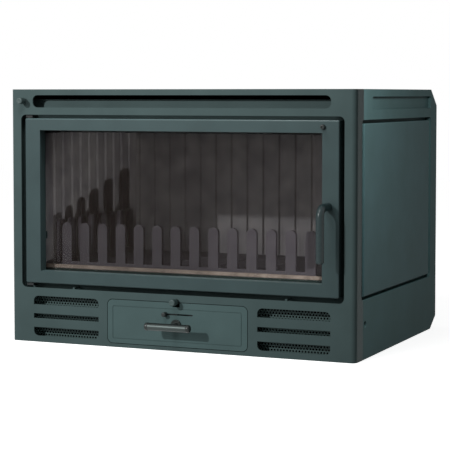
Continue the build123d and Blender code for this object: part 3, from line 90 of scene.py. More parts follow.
def add_node(
    tree: bpy.types.NodeTree,
    kind: str,
    settings: Optional[dict[str, Any]] = None,
    values: Optional[dict[Any, Any]] = None,
    links: Optional[dict[Any, bpy.types.NodeSocket]] = None,
    stops: Optional[list[tuple[float, str]]] = None,
) -> bpy.types.Node:
    """Adds a node with its settings, socket values, incoming links and colour stops.

    Args:
        tree: the node tree of a material or the world.
        kind: the node's type name.
        settings: properties of the node itself.
        values: values of its input sockets, by name or number.
        links: the sockets that feed its inputs, by name or number.
        stops: places and hex colours of a colour ramp.

    Returns:
        The new node.
    """
    node = tree.nodes.new(kind)
    for name, value in (settings or {}).items():
        setattr(node, name, value)
    for name, value in (values or {}).items():
        node.inputs[name].default_value = value
    for name, socket in (links or {}).items():
        tree.links.new(socket, node.inputs[name])
    if stops:
        ramp = node.color_ramp
        while len(ramp.elements) < len(stops):
            ramp.elements.new(0.5)
        for element, (place, code) in zip(ramp.elements, stops):
            element.position = place
            element.color = linear_colour(code)
    return node


def new_material(name: str) -> tuple[bpy.types.Material, bpy.types.NodeTree, bpy.types.Node]:
    """Makes an empty node material.

    Args:
        name: the material's name.

    Returns:
        The material, its node tree and its output node.
    """
    material = bpy.data.materials.new(name)
    material.use_nodes = True
    tree = material.node_tree
    tree.nodes.clear()
    return material, tree, tree.nodes.new("ShaderNodeOutputMaterial")


def deselect_all() -> None:
    """Leaves nothing selected, so that an operator acts only on what comes next."""
    bpy.ops.object.select_all(action="DESELECT")


def name_piece(name: str) -> bpy.types.Object:
    """Names the piece that was added last.

    Args:
        name: the piece's name, which its mesh gets too.

    Returns:
        The piece.
    """
    piece = bpy.context.object
    piece.name = name
    piece.data.name = name
    return piece


@contextmanager
def editing(piece: bpy.types.Object) -> Iterator[None]:
    """Holds a piece in edit mode for the operators inside the block.

    Args:
        piece: the piece to edit.

    Yields:
        Nothing: the block runs in edit mode.
    """
    deselect_all()
    piece.select_set(True)
    bpy.context.view_layer.objects.active = piece
    bpy.ops.object.mode_set(mode="EDIT")
    yield
    bpy.ops.object.mode_set(mode="OBJECT")


def choose(piece: bpy.types.Object, kind: str, test: Callable[[Any], bool]) -> None:
    """Selects the points, edges or faces of the piece in edit mode that pass a test.

    Args:
        piece: the piece being edited.
        kind: verts, edges or faces.
        test: says of one element whether it is wanted.
    """
    bpy.ops.mesh.select_mode(type={"verts": "VERT", "edges": "EDGE", "faces": "FACE"}[kind])
    bpy.ops.mesh.select_all(action="DESELECT")
    mesh = bmesh.from_edit_mesh(piece.data)
    for element in getattr(mesh, kind):
        if test(element):
            element.select_set(True)
    mesh.select_flush_mode()
    bmesh.update_edit_mesh(piece.data)


def settle(piece: bpy.types.Object, smooth_angle: Optional[float] = None) -> None:
    """Applies a piece's modifiers and place, so that its object stands at the origin.

    Args:
        piece: the piece to finish.
        smooth_angle: edges flatter than this angle in degrees are shaded smooth.
    """
    deselect_all()
    piece.select_set(True)
    bpy.context.view_layer.objects.active = piece
    for modifier in list(piece.modifiers):
        bpy.ops.object.modifier_apply(modifier=modifier.name)
    bpy.ops.object.transform_apply(location=True, rotation=True, scale=True)
    if smooth_angle is not None:
        bpy.ops.object.shade_smooth_by_angle(angle=math.radians(smooth_angle))


def join(pieces: list[bpy.types.Object], name: str) -> bpy.types.Object:
    """Joins pieces into the first of them.

    Args:
        pieces: the pieces, each with its own mesh.
        name: the joined piece's name.

    Returns:
        The joined piece.
    """
    deselect_all()
    for piece in pieces:
        piece.select_set(True)
    bpy.context.view_layer.objects.active = pieces[0]
    bpy.ops.object.join()
    return name_piece(name)


@dataclass(frozen=True)
class GrainedFinish:
    """A matte or satin surface with a fine grain and a slow change of tone.

    The grain is what powder, paint or a sand mould leaves. The slow change is handling, heat and dust. Where
    a shade_foot_colour is given, it is painted shade: a darker colour that covers the piece from below up to
    shade_foot_top_mm above the floor.
    """

    name: str
    colour: str
    cloud_colour: str
    roughness: float
    grain_mm: float
    grain_height_mm: float
    gloss: float = 0.25
    cloud_mm: float = 70.0
    shade_foot_colour: str = ""
    shade_foot_top_mm: float = 0.0
    shade_foot_blur_mm: float = 0.7

    def material(self) -> bpy.types.Material:
        """Builds the finish's material."""
        material, tree, output = new_material(self.name)
        place = add_node(tree, "ShaderNodeTexCoord").outputs["Object"]
        cloud = add_node(
            tree,
            "ShaderNodeTexNoise",
            values={"Scale": 1 / (self.cloud_mm * MM), "Detail": 3.0, "Roughness": 0.55},
            links={"Vector": place},
        )
        grain = add_node(
            tree,
            "ShaderNodeTexNoise",
            values={"Scale": 1 / (self.grain_mm * MM), "Detail": 2.0, "Roughness": 0.6},
            links={"Vector": place},
        )
        tone = add_node(
            tree,
            "ShaderNodeValToRGB",
            links={"Fac": cloud.outputs["Fac"]},
            stops=[(0.3, self.cloud_colour), (0.7, self.colour)],
        )
        sheen = add_node(
            tree,
            "ShaderNodeMapRange",
            values={"To Min": self.roughness - 0.05, "To Max": self.roughness + 0.06},
            links={"Value": grain.outputs["Fac"]},
        )
        bump = add_node(
            tree,
            "ShaderNodeBump",
            values={"Strength": 0.5, "Distance": self.grain_height_mm * MM},
            links={"Height": grain.outputs["Fac"]},
        )
        base = tone.outputs["Color"]
        # Painted shade: below shade_foot_top_mm the colour turns to the dark foot colour.
        if self.shade_foot_colour:
            height = add_node(tree, "ShaderNodeSeparateXYZ", links={"Vector": place})
            above = add_node(
                tree,
                "ShaderNodeMapRange",
                values={
                    "From Min": (self.shade_foot_top_mm - self.shade_foot_blur_mm) * MM,
                    "From Max": (self.shade_foot_top_mm + self.shade_foot_blur_mm) * MM,
                },
                links={"Value": height.outputs["Z"]},
            )
            shade_banded = add_node(
                tree,
                "ShaderNodeMix",
                {"data_type": "RGBA"},
                values={6: linear_colour(self.shade_foot_colour)},
                links={0: above.outputs["Result"], 7: base},
            )
            base = shade_banded.outputs[2]
        surface = add_node(
            tree,
            "ShaderNodeBsdfPrincipled",
            values={"Specular IOR Level": self.gloss},
            links={
                "Base Color": base,
                "Roughness": sheen.outputs["Result"],
                "Normal": bump.outputs["Normal"],
            },
        )
        tree.links.new(surface.outputs["BSDF"], output.inputs["Surface"])
        return material


@dataclass(frozen=True)
class DrawnSteel:
    """Bright or dark steel bar, drawn and then polished along its length.

    The real lines are far finer: line_mm is as coarse as it needs to be to show in the render.
    """

    name: str
    colour: str
    roughness: float
    along: tuple[float, float, float]
    line_mm: float = 0.7
    stretch: float = 0.02

    def material(self) -> bpy.types.Material:
        """Builds the finish's material: fine lines that run along the bar."""
        material, tree, output = new_material(self.name)
        place = add_node(tree, "ShaderNodeTexCoord").outputs["Object"]
        scale = tuple(self.stretch if axis else 1.0 for axis in self.along)
        along = add_node(tree, "ShaderNodeMapping", values={"Scale": scale}, links={"Vector": place})
        lines = add_node(
            tree,
            "ShaderNodeTexNoise",
            values={"Scale": 1 / (self.line_mm * MM), "Detail": 3.0},
            links={"Vector": along.outputs["Vector"]},
        )
        sheen = add_node(
            tree,
            "ShaderNodeMapRange",
            values={"To Min": self.roughness - 0.08, "To Max": self.roughness + 0.1},
            links={"Value": lines.outputs["Fac"]},
        )
        bump = add_node(
            tree,
            "ShaderNodeBump",
            values={"Strength": 0.25, "Distance": 0.02 * MM},
            links={"Height": lines.outputs["Fac"]},
        )
        surface = add_node(
            tree,
            "ShaderNodeBsdfPrincipled",
            values={"Base Color": linear_colour(self.colour), "Metallic": 1.0},
            links={"Roughness": sheen.outputs["Result"], "Normal": bump.outputs["Normal"]},
        )
        tree.links.new(surface.outputs["BSDF"], output.inputs["Surface"])
        return material


@dataclass(frozen=True)
class ClearCeramic:
    """Clear heat-resisting ceramic sheet with a faint warm tint."""

    name: str = "rolled clear ceramic glass"
    colour: str = "#3A2E26"
    cover: float = 0.08

    def material(self) -> bpy.types.Material:
        """Builds the finish's material."""
        material, tree, output = new_material(self.name)
        surface = add_node(
            tree,
            "ShaderNodeBsdfPrincipled",
            values={"Base Color": linear_colour(self.colour), "Roughness": 0.06, "Alpha": self.cover},
        )
        tree.links.new(surface.outputs["BSDF"], output.inputs["Surface"])
        return material


class Finish(Enum):
    """Every finish on the insert, by the material and the making that gives it."""

    # Baked satin paint: an even grey-green, hardly any grain, only a faint light at the edges.
    CASING = GrainedFinish(
        "stoved paint on folded sheet steel",
        "#4A5A5A",
        "#455454",
        roughness=0.42,
        grain_mm=1.6,
        grain_height_mm=0.05,
        gloss=0.03,
    )
    # The same paint over cast iron: the casting's skin shows through a little, and the rim shines more.
    DOOR = GrainedFinish(
        "stoved paint on cast iron frame",
        "#384849",
        "#334243",
        roughness=0.4,
        grain_mm=1.8,
        grain_height_mm=0.06,
        gloss=0.14,
    )
    # Painted shade: the casing's paint drawn darker on the side sheet, which faces away from the key; flat
    # sheet seen at a low angle, duller than the front.
    SIDE = GrainedFinish(
        "stoved paint on side sheet with painted shade",
        "#35494A",
        "#314444",
        roughness=0.5,
        grain_mm=1.6,
        grain_height_mm=0.05,
        gloss=0.01,
    )
    # Painted shade: a shade darker again, so that the panel reads apart from the sheet round it.
    SIDE_PANEL = GrainedFinish(
        "stoved paint on side panel with painted shade",
        "#34484A",
        "#304344",
        roughness=0.45,
        grain_mm=1.6,
        grain_height_mm=0.04,
        gloss=0.01,
    )
    # Painted sheen: the pressed sheet's paint is drawn a little lighter than the casing where its flat field
    # catches the key; it is glossier too.
    DRAWER = GrainedFinish(
        "stoved paint on pressed drawer front with painted sheen",
        "#495D5D",
        "#445757",
        roughness=0.42,
        grain_mm=1.6,
        grain_height_mm=0.05,
        gloss=0.12,
    )
    # Paint on the webs between punched holes: a pale net over the dark behind.
    SCREEN = GrainedFinish(
        "stoved paint on punched sheet",
        "#4A5E5D",
        "#435655",
        roughness=0.5,
        grain_mm=1.4,
        grain_height_mm=0.04,
    )
    # Heat-proof paint: almost black and dull, so that the inside stays in the dark.
    PLATE = GrainedFinish(
        "heat-black paint on welded plate",
        "#202425",
        "#1B1E1F",
        roughness=0.6,
        grain_mm=1.8,
        grain_height_mm=0.05,
    )
    # Sand-cast and unpainted: coarse grain, with ash that lies paler in soft patches.
    LINING = GrainedFinish(
        "raw cast iron with light ash",
        "#656363",
        "#49474B",
        roughness=0.75,
        grain_mm=2.4,
        grain_height_mm=0.25,
        cloud_mm=45.0,
    )
    # Painted shade: the same iron drawn darker than the lining, for the guards and grates in the firebox's
    # shade, with a rough skin.
    IRON = GrainedFinish(
        "raw cast iron grate with painted shade",
        "#3E3B3F",
        "#343136",
        roughness=0.68,
        grain_mm=2.2,
        grain_height_mm=0.2,
        gloss=0.15,
        cloud_mm=35.0,
    )
    # Braided fibre: deep short bumps and no shine at all.
    ROPE = GrainedFinish(
        "braided glass-fibre rope",
        "#2E2D2C",
        "#262524",
        roughness=0.9,
        grain_mm=1.2,
        grain_height_mm=0.5,
        gloss=0.1,
        cloud_mm=8.0,
    )
    # Enamel: smooth and the glossiest finish, with one clear line of light along the bend.
    BLACK_ROD = GrainedFinish(
        "black enamelled bent rod",
        "#263839",
        "#213133",
        roughness=0.28,
        grain_mm=2.0,
        grain_height_mm=0.02,
        gloss=0.3,
    )
    # Enamel on a turned face: a small bright spot on near-black.
    BLACK_KNOB = GrainedFinish(
        "black enamelled turned knob",
        "#2A302F",
        "#242A29",
        roughness=0.3,
        grain_mm=2.0,
        grain_height_mm=0.02,
    )
    # The casing's paint on a turned knob: lighter, with a soft highlight on the rim.
    PULL_KNOB = GrainedFinish(
        "stoved paint on turned knob",
        "#465655",
        "#3F4E4E",
        roughness=0.34,
        grain_mm=1.6,
        grain_height_mm=0.03,
    )
    # Painted firelight and painted shade: the upper edge is drawn pale and matte where the fire lights it,
    # and the foot below is drawn dark green for the shaded front face.
    SILL = GrainedFinish(
        "plate with painted firelit top and painted shade foot",
        "#8A7E74",
        "#665C55",
        roughness=0.8,
        grain_mm=2.4,
        grain_height_mm=0.1,
        gloss=0.1,
        cloud_mm=18.0,
        shade_foot_colour="#172423",
        shade_foot_top_mm=141.5,
    )
    # Drawn bright steel: fine lines along the bar that stretch its highlight.
    BAR = DrawnSteel("satin drawn steel bar", "#3C4241", 0.42, along=(1.0, 0.0, 0.0))
    # Turned steel left bare: the same lines along the rod, a little duller.
    TURNED = DrawnSteel("plain turned steel", "#5C6061", 0.45, along=(0.0, 1.0, 0.0))
    GLASS = ClearCeramic()


def finish_material(finish: Finish) -> bpy.types.Material:
    """Returns a finish's material, made once.

    Args:
        finish: the finish wanted.

    Returns:
        Its material.
    """
    known = bpy.data.materials.get(finish.value.name)
    return known or finish.value.material()


def dress(finish: Finish, *nodes: str) -> None:
    """Gives CAD nodes a finish.

    Args:
        finish: the finish that they share.
        nodes: the nodes' names.
    """
    material = finish_material(finish)
    for name in nodes:
        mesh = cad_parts[name].data
        mesh.materials.clear()
        mesh.materials.append(material)


def fit(piece: bpy.types.Object, finish: Finish, body: str, slot: str, *nodes: str) -> None:
    """Puts a finished piece on its body in place of the CAD nodes that it shows in full.

    Args:
        piece: the finished piece.
        finish: its finish.
        body: the body that it moves with.
        slot: the record's material slot; not used.
        nodes: the nodes that it stands for.
    """
    piece.data.materials.clear()
    piece.data.materials.append(finish_material(finish))
    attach(piece, body)
    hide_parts(*nodes)
    log.info("fitted %s on %s", piece.name, body)


@dataclass
class Casing:
    """Folded front, flat sides, side panels, top, back and bottom, with the punched screens."""

    hole_mm: float = 4.0
    hole_sides: int = 8
    pitch_mm: float = 6.0
    sheet_mm: float = 1.5

    def build(self) -> None:
        """Punches the two screens behind the vents."""
        for side in ("left", "right"):
            self._screen(f"perforated_screen_{side}")

    def _screen(self, node: str) -> None:
        """Punches one screen: a cell with a round hole, repeated in staggered rows and cut to size.

        Args:
            node: the CAD screen that it replaces, which gives its outline.
        """
        low, high = (Vector(corner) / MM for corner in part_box(node))
        row_mm = self.pitch_mm * math.sqrt(3) / 2
        columns = math.ceil((high.x - low.x) / self.pitch_mm) + 1
        rows = math.ceil((high.z - low.z) / row_mm / 2) + 1
        start = (low.x * MM, low.y * MM, (low.z + row_mm / 2) * MM)
        deselect_all()
        bpy.ops.mesh.primitive_plane_add(size=self.pitch_mm * MM, rotation=UPRIGHT, location=start)
        screen = name_piece(node.replace("perforated", "punched"))
        settle(screen)
        with editing(screen):
            bpy.ops.mesh.select_all(action="SELECT")
            bpy.ops.transform.resize(value=(1, 1, row_mm / self.pitch_mm), center_override=start)
            bpy.ops.mesh.select_mode(type="FACE")
            bpy.ops.mesh.delete(type="ONLY_FACE")
            bpy.ops.mesh.select_mode(type="EDGE")
            bpy.ops.mesh.select_all(action="SELECT")
            bpy.ops.mesh.subdivide()
            bpy.ops.mesh.select_all(action="DESELECT")
            bpy.ops.mesh.primitive_circle_add(
                vertices=self.hole_sides, radius=self.hole_mm / 2 * MM, rotation=UPRIGHT, location=start
            )
            bpy.ops.mesh.select_all(action="SELECT")
            bpy.ops.mesh.bridge_edge_loops()
        self._repeat(screen, (self.pitch_mm * MM, 0, 0), columns)
        self._repeat(screen, (self.pitch_mm / 2 * MM, 0, row_mm * MM), 2)
        settle(screen)
        self._repeat(screen, (0, 0, 2 * row_mm * MM), rows)
        settle(screen)
        with editing(screen):
            for corner, outward in (
                (low, (-1, 0, 0)),
                (high, (1, 0, 0)),
                (low, (0, 0, -1)),
                (high, (0, 0, 1)),
            ):
                bpy.ops.mesh.select_all(action="SELECT")
                bpy.ops.mesh.bisect(plane_co=tuple(corner * MM), plane_no=outward, clear_outer=True)
            bpy.ops.mesh.select_all(action="SELECT")
            bpy.ops.mesh.remove_doubles(threshold=MERGE)
            bpy.ops.mesh.normals_make_consistent(inside=False)
        wall = screen.modifiers.new("sheet", "SOLIDIFY")
        wall.thickness = self.sheet_mm * MM
        wall.offset = 1.0 if screen.data.polygons[0].normal.y > 0 else -1.0
        settle(screen)
        fit(screen, Finish.SCREEN, "root", "screen_steel", node)

    def _repeat(self, piece: bpy.types.Object, step: tuple[float, float, float], count: int) -> None:
        """Adds an array of the piece along a step.

        Args:
            piece: the piece to repeat.
            step: the distance from one copy to the next, in metres.
            count: how many there are in all.
        """
        array = piece.modifiers.new("repeat", "ARRAY")
        array.use_relative_offset = False
        array.use_constant_offset = True
        array.constant_offset_displace = step
        array.count = count

    def dress(self) -> None:
        """Paints the casing's sheets."""
        dress(
            Finish.CASING,
            "front_surround",
            "top_plate",
            "outlet_cover_left",
            "outlet_cover_right",
            "rear_panel",
            "base_plate",
        )
        dress(
            Finish.SIDE,
            "side_casing_left",
            "side_casing_right",
            "side_backing_left",
            "side_backing_right",
        )
        dress(Finish.SIDE_PANEL, "side_panel_left", "side_panel_right")
        dress(Finish.SCREEN, "perforated_screen_left", "perforated_screen_right")


@dataclass
class Firebox:
    """Welded firebox with its linings, hearth, grates and fire guards."""

    def dress(self) -> None:
        """Gives the plates their heat-black paint and the castings their raw iron."""
        dress(
            Finish.PLATE,
            "firebox_side_left",
            "firebox_side_right",
            "firebox_back",
            "firebox_floor",
            "firebox_roof",
            "flue_socket",
            "ash_bay",
            "shaker_guide",
            "latch_keeper",
            "smoke_baffle",
        )
        dress(Finish.CASING, "firebox_front_plate")
        dress(Finish.SILL, "front_sill")
        dress(Finish.LINING, "side_lining_left", "side_lining_right", "back_lining")
        dress(
            Finish.IRON,
            "hearth_plate",
            "fixed_grate",
            "shaker_grate",
            "log_guard",
            "side_guard_left",
            "side_guard_right",
        )


@dataclass
class Door:
    """Cast door with its glass, seal, hinges, bent handle and latch."""

    screw_x_mm: float = 288.0
    screw_z_mm: float = 418.0
    screw_radius_mm: float = 4.5
    screw_proud_mm: float = 5.0
    screw_round_mm: float = 1.6
    socket_rim_mm: float = 0.9
    socket_draft_mm: float = 0.1
    socket_deep_mm: float = 1.5

    def build(self) -> None:
        """Turns the small socket screw at the frame's upper right corner, rounded over its rim."""
        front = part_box("door_frame")[0][1]
        deselect_all()
        bpy.ops.mesh.primitive_cylinder_add(
            vertices=24,
            radius=self.screw_radius_mm * MM,
            depth=self.screw_proud_mm * MM,
            end_fill_type="NGON",
            location=(self.screw_x_mm * MM, front - self.screw_proud_mm * MM / 2, self.screw_z_mm * MM),
            rotation=UPRIGHT,
        )
        screw = name_piece("frame_screw")
        settle(screw)
        with editing(screw):
            choose(screw, "faces", lambda face: face.normal.y < -0.9)
            bpy.ops.mesh.bevel(offset=self.screw_round_mm * MM, segments=4, affect="EDGES")
            choose(screw, "faces", lambda face: face.normal.y < -0.99)
            bpy.ops.mesh.inset(thickness=self.socket_rim_mm * MM, depth=0.0)
            bpy.ops.mesh.inset(thickness=self.socket_draft_mm * MM, depth=-self.socket_deep_mm * MM)
        settle(screw, SMOOTH_DEGREES)
        screw.data.materials.append(finish_material(Finish.BLACK_KNOB))
        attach(screw, "door")
        log.info("fitted frame_screw on door")

    def dress(self) -> None:
        """Dresses the door and what it hangs and shuts on."""
        dress(Finish.DOOR, "door_frame", "glass_clips")
        dress(Finish.GLASS, "door_glass")
        dress(Finish.ROPE, "door_seal", "glass_gasket")
        dress(Finish.BLACK_ROD, "handle_rod")
        dress(Finish.TURNED, "clip_screws", "latch_tongue", "latch_nut")
        dress(Finish.PLATE, "hinge_bracket_lower", "hinge_bracket_upper", "hinge_washers")


@dataclass
class Controls:
    """Ash drawer, air slider, damper and grate shaker, with their turned knobs."""

    round_mm: float = 2.6
    dish_mm: float = 0.5
    dish_share: float = 0.55
    air_round_mm: float = 1.4
    flat_degrees: float = 2.0
    cap_round_mm: float = 3.0
    cap_seat_round_mm: float = 0.6

    def build(self) -> None:
        """Turns the knobs and the bar's end caps."""
        for name, body in (("damper_knob", "flue_damper"), ("shaker_knob", "grate_shaker")):
            self._knob(name, body)
        self._air_knob()
        self._caps()

    def _knob(self, node: str, body: str) -> None:
        """Turns one pull knob with a rounded rim and a dished face.

        Args:
            node: the plain CAD knob that it replaces.
            body: the body that it moves with.
        """
        low, high = (Vector(corner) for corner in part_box(node))
        middle = (low + high) / 2
        radius = (high.x - low.x) / 2
        deselect_all()
        bpy.ops.mesh.primitive_cylinder_add(
            vertices=36,
            radius=radius,
            depth=high.y - low.y,
            end_fill_type="NGON",
            location=middle,
            rotation=UPRIGHT,
        )
        knob = name_piece(f"{node}_turned")
        settle(knob)
        with editing(knob):
            choose(knob, "faces", lambda face: face.normal.y < -0.9)
            bpy.ops.mesh.inset(thickness=radius * self.dish_share, depth=0.0)
            bpy.ops.transform.translate(value=(0, self.dish_mm * MM, 0))
            choose(
                knob,
                "edges",
                lambda edge: all(
                    abs(point.co.y - low.y) < TOUCH
                    and abs(math.hypot(point.co.x - middle.x, point.co.z - middle.z) - radius) < TOUCH
                    for point in edge.verts
                ),
            )
            bpy.ops.mesh.bevel(offset=self.round_mm * MM, segments=5, affect="EDGES")
        settle(knob, SMOOTH_DEGREES)
        fit(knob, Finish.PULL_KNOB, body, "knob_black", node)

    def _air_knob(self) -> None:
        """Rounds the small knob of the air slider, which has a neck through its slot."""
        deselect_all()
        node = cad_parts["air_knob"]
        low = Vector(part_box("air_knob")[0])
        node.select_set(True)
        bpy.context.view_layer.objects.active = node
        bpy.ops.object.duplicate()
        knob = name_piece("air_knob_turned")
        with editing(knob):
            bpy.ops.mesh.select_all(action="SELECT")
            bpy.ops.mesh.remove_doubles(threshold=MERGE)
            bpy.ops.mesh.dissolve_limited(angle_limit=math.radians(self.flat_degrees))
            choose(
                knob,
                "edges",
                lambda edge: all(abs(point.co.y - low.y) < TOUCH for point in edge.verts),
            )
            bpy.ops.mesh.bevel(offset=self.air_round_mm * MM, segments=4, affect="EDGES")
        settle(knob, SMOOTH_DEGREES)
        fit(knob, Finish.BLACK_KNOB, "air_slider", "knob_black", "air_knob")

    def _caps(self) -> None:
        """Turns the domed caps at both ends of the bar handle."""
        low, high = (Vector(corner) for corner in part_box("bar_caps"))
        bar_low, bar_high = (Vector(corner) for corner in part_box("bar_handle"))
        radius = (high.z - low.z) / 2
        caps = []
        for end, seat in ((low.x, bar_low.x), (high.x, bar_high.x)):
            deselect_all()
            bpy.ops.mesh.primitive_cylinder_add(
                vertices=32,
                radius=radius,
                depth=abs(end - seat),
                end_fill_type="NGON",
                location=((end + seat) / 2, (low.y + high.y) / 2, (low.z + high.z) / 2),
                rotation=(0, math.pi / 2, 0),
            )
            cap = name_piece("cap")
            settle(cap)
            with editing(cap):
                choose(
                    cap,
                    "edges",
                    lambda edge, end=end: all(abs(point.co.x - end) < TOUCH for point in edge.verts),
                )
                bpy.ops.mesh.bevel(offset=self.cap_round_mm * MM, segments=5, affect="EDGES")
                choose(
                    cap,
                    "edges",
                    lambda edge, seat=seat: all(abs(point.co.x - seat) < TOUCH for point in edge.verts),
                )
                bpy.ops.mesh.bevel(offset=self.cap_seat_round_mm * MM, segments=2, affect="EDGES")
            caps.append(cap)
        both = join(caps, "bar_caps_domed")
        settle(both, SMOOTH_DEGREES)
        fit(both, Finish.BLACK_KNOB, "ash_drawer", "knob_black", "bar_caps")

    def dress(self) -> None:
        """Dresses the drawer, its bar handle and the rods."""
        dress(Finish.DRAWER, "drawer_front")
        dress(Finish.PLATE, "ash_tray", "air_shutter", "damper_gate", "damper_arm")
        dress(Finish.BAR, "bar_handle")
        dress(Finish.BLACK_KNOB, "bar_post", "bar_caps", "air_knob", "damper_knob", "shaker_knob")
        dress(Finish.TURNED, "damper_rod", "shaker_rod")


@dataclass(frozen=True)
class Lamp:
    """One white lamp: its kind, place, target, power in watts, size in metres and cone in degrees.

    A lamp that names nodes is flagged off from all else, as a small lamp is with card in a studio.
    """

    name: str
    kind: str
    place: tuple[float, float, float]
    target: tuple[float, float, float]
    power: float
    size: float
    cone: float = 0.0
    nodes: tuple[str, ...] = ()

    def hang(self) -> None:
        """Hangs the lamp and points it at its target."""
        lamp = bpy.data.lights.new(self.name, self.kind)
        lamp.energy = self.power
        if self.kind == "AREA":
            lamp.size = self.size
        else:
            lamp.shadow_soft_size = self.size
        if self.kind == "SPOT":
            lamp.spot_size = math.radians(self.cone)
            lamp.spot_blend = 1.0
        holder = bpy.data.objects.new(self.name, lamp)
        holder.location = self.place
        way = Vector(self.target) - Vector(self.place)
        holder.rotation_euler = way.to_track_quat("-Z", "Y").to_euler()
        bpy.context.scene.collection.objects.link(holder)
        if self.nodes:
            lit = bpy.data.collections.new(f"{self.name} lights")
            for name in self.nodes:
                lit.objects.link(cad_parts[name])
            holder.light_linking.receiver_collection = lit


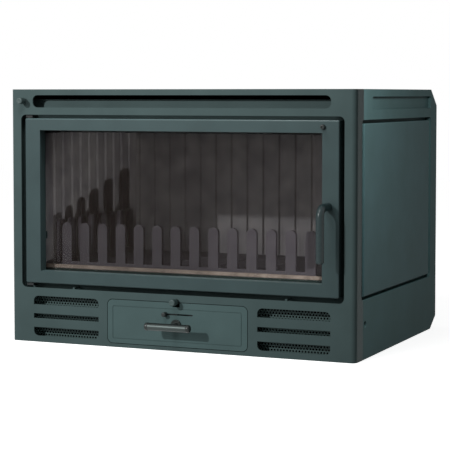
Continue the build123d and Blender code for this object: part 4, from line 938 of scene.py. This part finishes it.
@dataclass
class Studio:
    """Pale floor, soft lamps and the camera at the photograph's angle."""

    camera_place: tuple[float, float, float] = (1.265, -2.9428, 0.4757)
    camera_yaw: float = 23.4398
    camera_tilt: float = -3.0404
    camera_shift: float = -0.1
    lens_mm: float = 129.1838
    sensor_mm: float = 36.0
    room_light: float = 0.17
    floor_half: float = 6.0
    # The paper as the camera sees it, white with the shadow kept, and as it bounces light on the object.
    paper_seen: str = "#F4F4F4"
    paper_bounced: str = "#A6A6A6"
    floor_glow: float = 0.84
    lamps: tuple[Lamp, ...] = (
        Lamp("key", "SPOT", (-1.95, -4.4, 2.2), (-0.22, -0.25, 0.5), power=700.0, size=0.06, cone=20.0),
        Lamp("left fill", "AREA", (-1.5, -3.0, 0.95), (-0.1, -0.25, 0.4), power=9.0, size=0.8),
        Lamp("top fill", "AREA", (0.05, -1.05, 1.4), (0.0, -0.25, 0.42), power=6.5, size=0.5),
        # Grazes the door from above, so that only its top rim turns bright.
        Lamp(
            "rim light",
            "AREA",
            (-0.05, -0.33, 1.3),
            (-0.05, -0.25, 0.43),
            power=20.0,
            size=0.3,
            nodes=("door_frame",),
        ),
        # Falls off fast, so that the side fades from its upper front corner.
        Lamp(
            "side sheen",
            "AREA",
            (0.62, -0.5, 0.66),
            (0.35, -0.16, 0.42),
            power=6.0,
            size=0.15,
            nodes=("side_casing_right", "side_panel_right", "side_backing_right"),
        ),
        # Tiny, low and at the right, for the comb's stepped shadow on the left lining.
        Lamp(
            "lining light",
            "SPOT",
            (0.46, -0.93, 0.04),
            (-0.27, -0.03, 0.26),
            power=38.0,
            size=0.004,
            cone=24.0,
            nodes=("side_lining_left", "side_guard_left"),
        ),
        Lamp(
            "comb light",
            "SPOT",
            (0.75, -1.1, 0.35),
            (0.2, -0.2, 0.18),
            power=50.0,
            size=0.05,
            cone=19.0,
            nodes=("log_guard", "hearth_plate", "front_sill"),
        ),
        Lamp(
            "back light",
            "AREA",
            (-1.3, 2.6, 1.4),
            (0.0, 0.1, 0.25),
            power=60.0,
            size=0.8,
            nodes=("rear_panel", "side_casing_left", "side_panel_left", "side_backing_left", "top_plate"),
        ),
        Lamp(
            "mouth light",
            "AREA",
            (0.35, -1.3, 0.42),
            (0.0, 0.05, 0.25),
            power=7.0,
            size=0.3,
            nodes=("back_lining", "side_lining_right", "side_guard_right", "hearth_plate", "fixed_grate"),
        ),
    )

    def set_camera(self) -> None:
        """Places the camera and makes it the scene's own."""
        lens = bpy.data.cameras.new("camera")
        lens.lens = self.lens_mm
        lens.sensor_width = self.sensor_mm
        lens.shift_y = self.camera_shift
        camera = bpy.data.objects.new("camera", lens)
        camera.location = self.camera_place
        camera.rotation_euler = (math.radians(90 + self.camera_tilt), 0.0, math.radians(self.camera_yaw))
        bpy.context.scene.collection.objects.link(camera)
        bpy.context.scene.camera = camera

    def set_lamps(self) -> None:
        """Hangs the lamps: the key at the upper left, the fills, and those flagged to some nodes alone."""
        for lamp in self.lamps:
            lamp.hang()

    def set_world(self) -> None:
        """Fills the room with even white light, and shows as white behind and in the object."""
        world = bpy.data.worlds.new("studio")
        bpy.context.scene.world = world
        world.use_nodes = True
        tree = world.node_tree
        tree.nodes.clear()
        level = add_node(
            tree,
            "ShaderNodeMapRange",
            values={"To Min": self.room_light, "To Max": 1.0},
            links={"Value": self._seen(tree)},
        )
        light = add_node(
            tree,
            "ShaderNodeBackground",
            values={"Color": (1.0, 1.0, 1.0, 1.0)},
            links={"Strength": level.outputs["Result"]},
        )
        output = add_node(tree, "ShaderNodeOutputWorld")
        tree.links.new(light.outputs["Background"], output.inputs["Surface"])

    def _seen(self, tree: bpy.types.NodeTree) -> bpy.types.NodeSocket:
        """Finds the rays that show the background: camera, glossy and transmission rays.

        Args:
            tree: the node tree of the world or of the floor.

        Returns:
            A socket that is 1 for such rays and 0 for all others.
        """
        rays = add_node(tree, "ShaderNodeLightPath")
        seen = rays.outputs["Is Camera Ray"]
        for name in ("Is Glossy Ray", "Is Transmission Ray"):
            links = {0: seen, 1: rays.outputs[name]}
            seen = add_node(tree, "ShaderNodeMath", {"operation": "MAXIMUM"}, links=links).outputs["Value"]
        return seen

    def lay_floor(self) -> None:
        """Lays the pale floor, which keeps the object's shadow."""
        deselect_all()
        bpy.ops.mesh.primitive_plane_add(size=2 * self.floor_half, location=(0.0, 0.0, 0.0))
        floor = name_piece("floor")
        material, tree, output = new_material("matte white studio paper")
        matte = add_node(tree, "ShaderNodeBsdfDiffuse", values={"Color": linear_colour(self.paper_seen)})
        glow = add_node(tree, "ShaderNodeEmission", values={"Strength": self.floor_glow})
        shown = add_node(
            tree, "ShaderNodeAddShader", links={0: matte.outputs["BSDF"], 1: glow.outputs["Emission"]}
        )
        bounced = add_node(tree, "ShaderNodeBsdfDiffuse", values={"Color": linear_colour(self.paper_bounced)})
        paper = add_node(
            tree,
            "ShaderNodeMixShader",
            links={0: self._seen(tree), 1: bounced.outputs["BSDF"], 2: shown.outputs["Shader"]},
        )
        tree.links.new(paper.outputs["Shader"], output.inputs["Surface"])
        material.cycles.emission_sampling = "NONE"
        floor.data.materials.append(material)
        floor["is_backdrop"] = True


def corners(box: tuple[Any, Any]) -> list[list[float]]:
    """Turns a box into plain lists of numbers.

    Args:
        box: its lowest and highest corners.

    Returns:
        The same corners as lists.
    """
    return [list(map(float, corner)) for corner in box]


def main(cad_box: list[list[float]]) -> None:
    """Builds and dresses the insert and its studio.

    Args:
        cad_box: the CAD model's box, kept from just after loading; not used.
    """
    logging.basicConfig(level=logging.INFO)
    bpy.context.scene.view_settings.view_transform = "Standard"
    deselect_all()
    casing, door, controls = Casing(), Door(), Controls()
    for part in (casing, Firebox(), door, controls):
        part.dress()
        log.info("dressed %s", type(part).__name__)
    for part in (casing, door, controls):
        part.build()
    studio = Studio()
    studio.set_camera()
    studio.set_lamps()
    studio.set_world()
    studio.lay_floor()


if __name__ == "__main__":
    main(corners(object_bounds()))
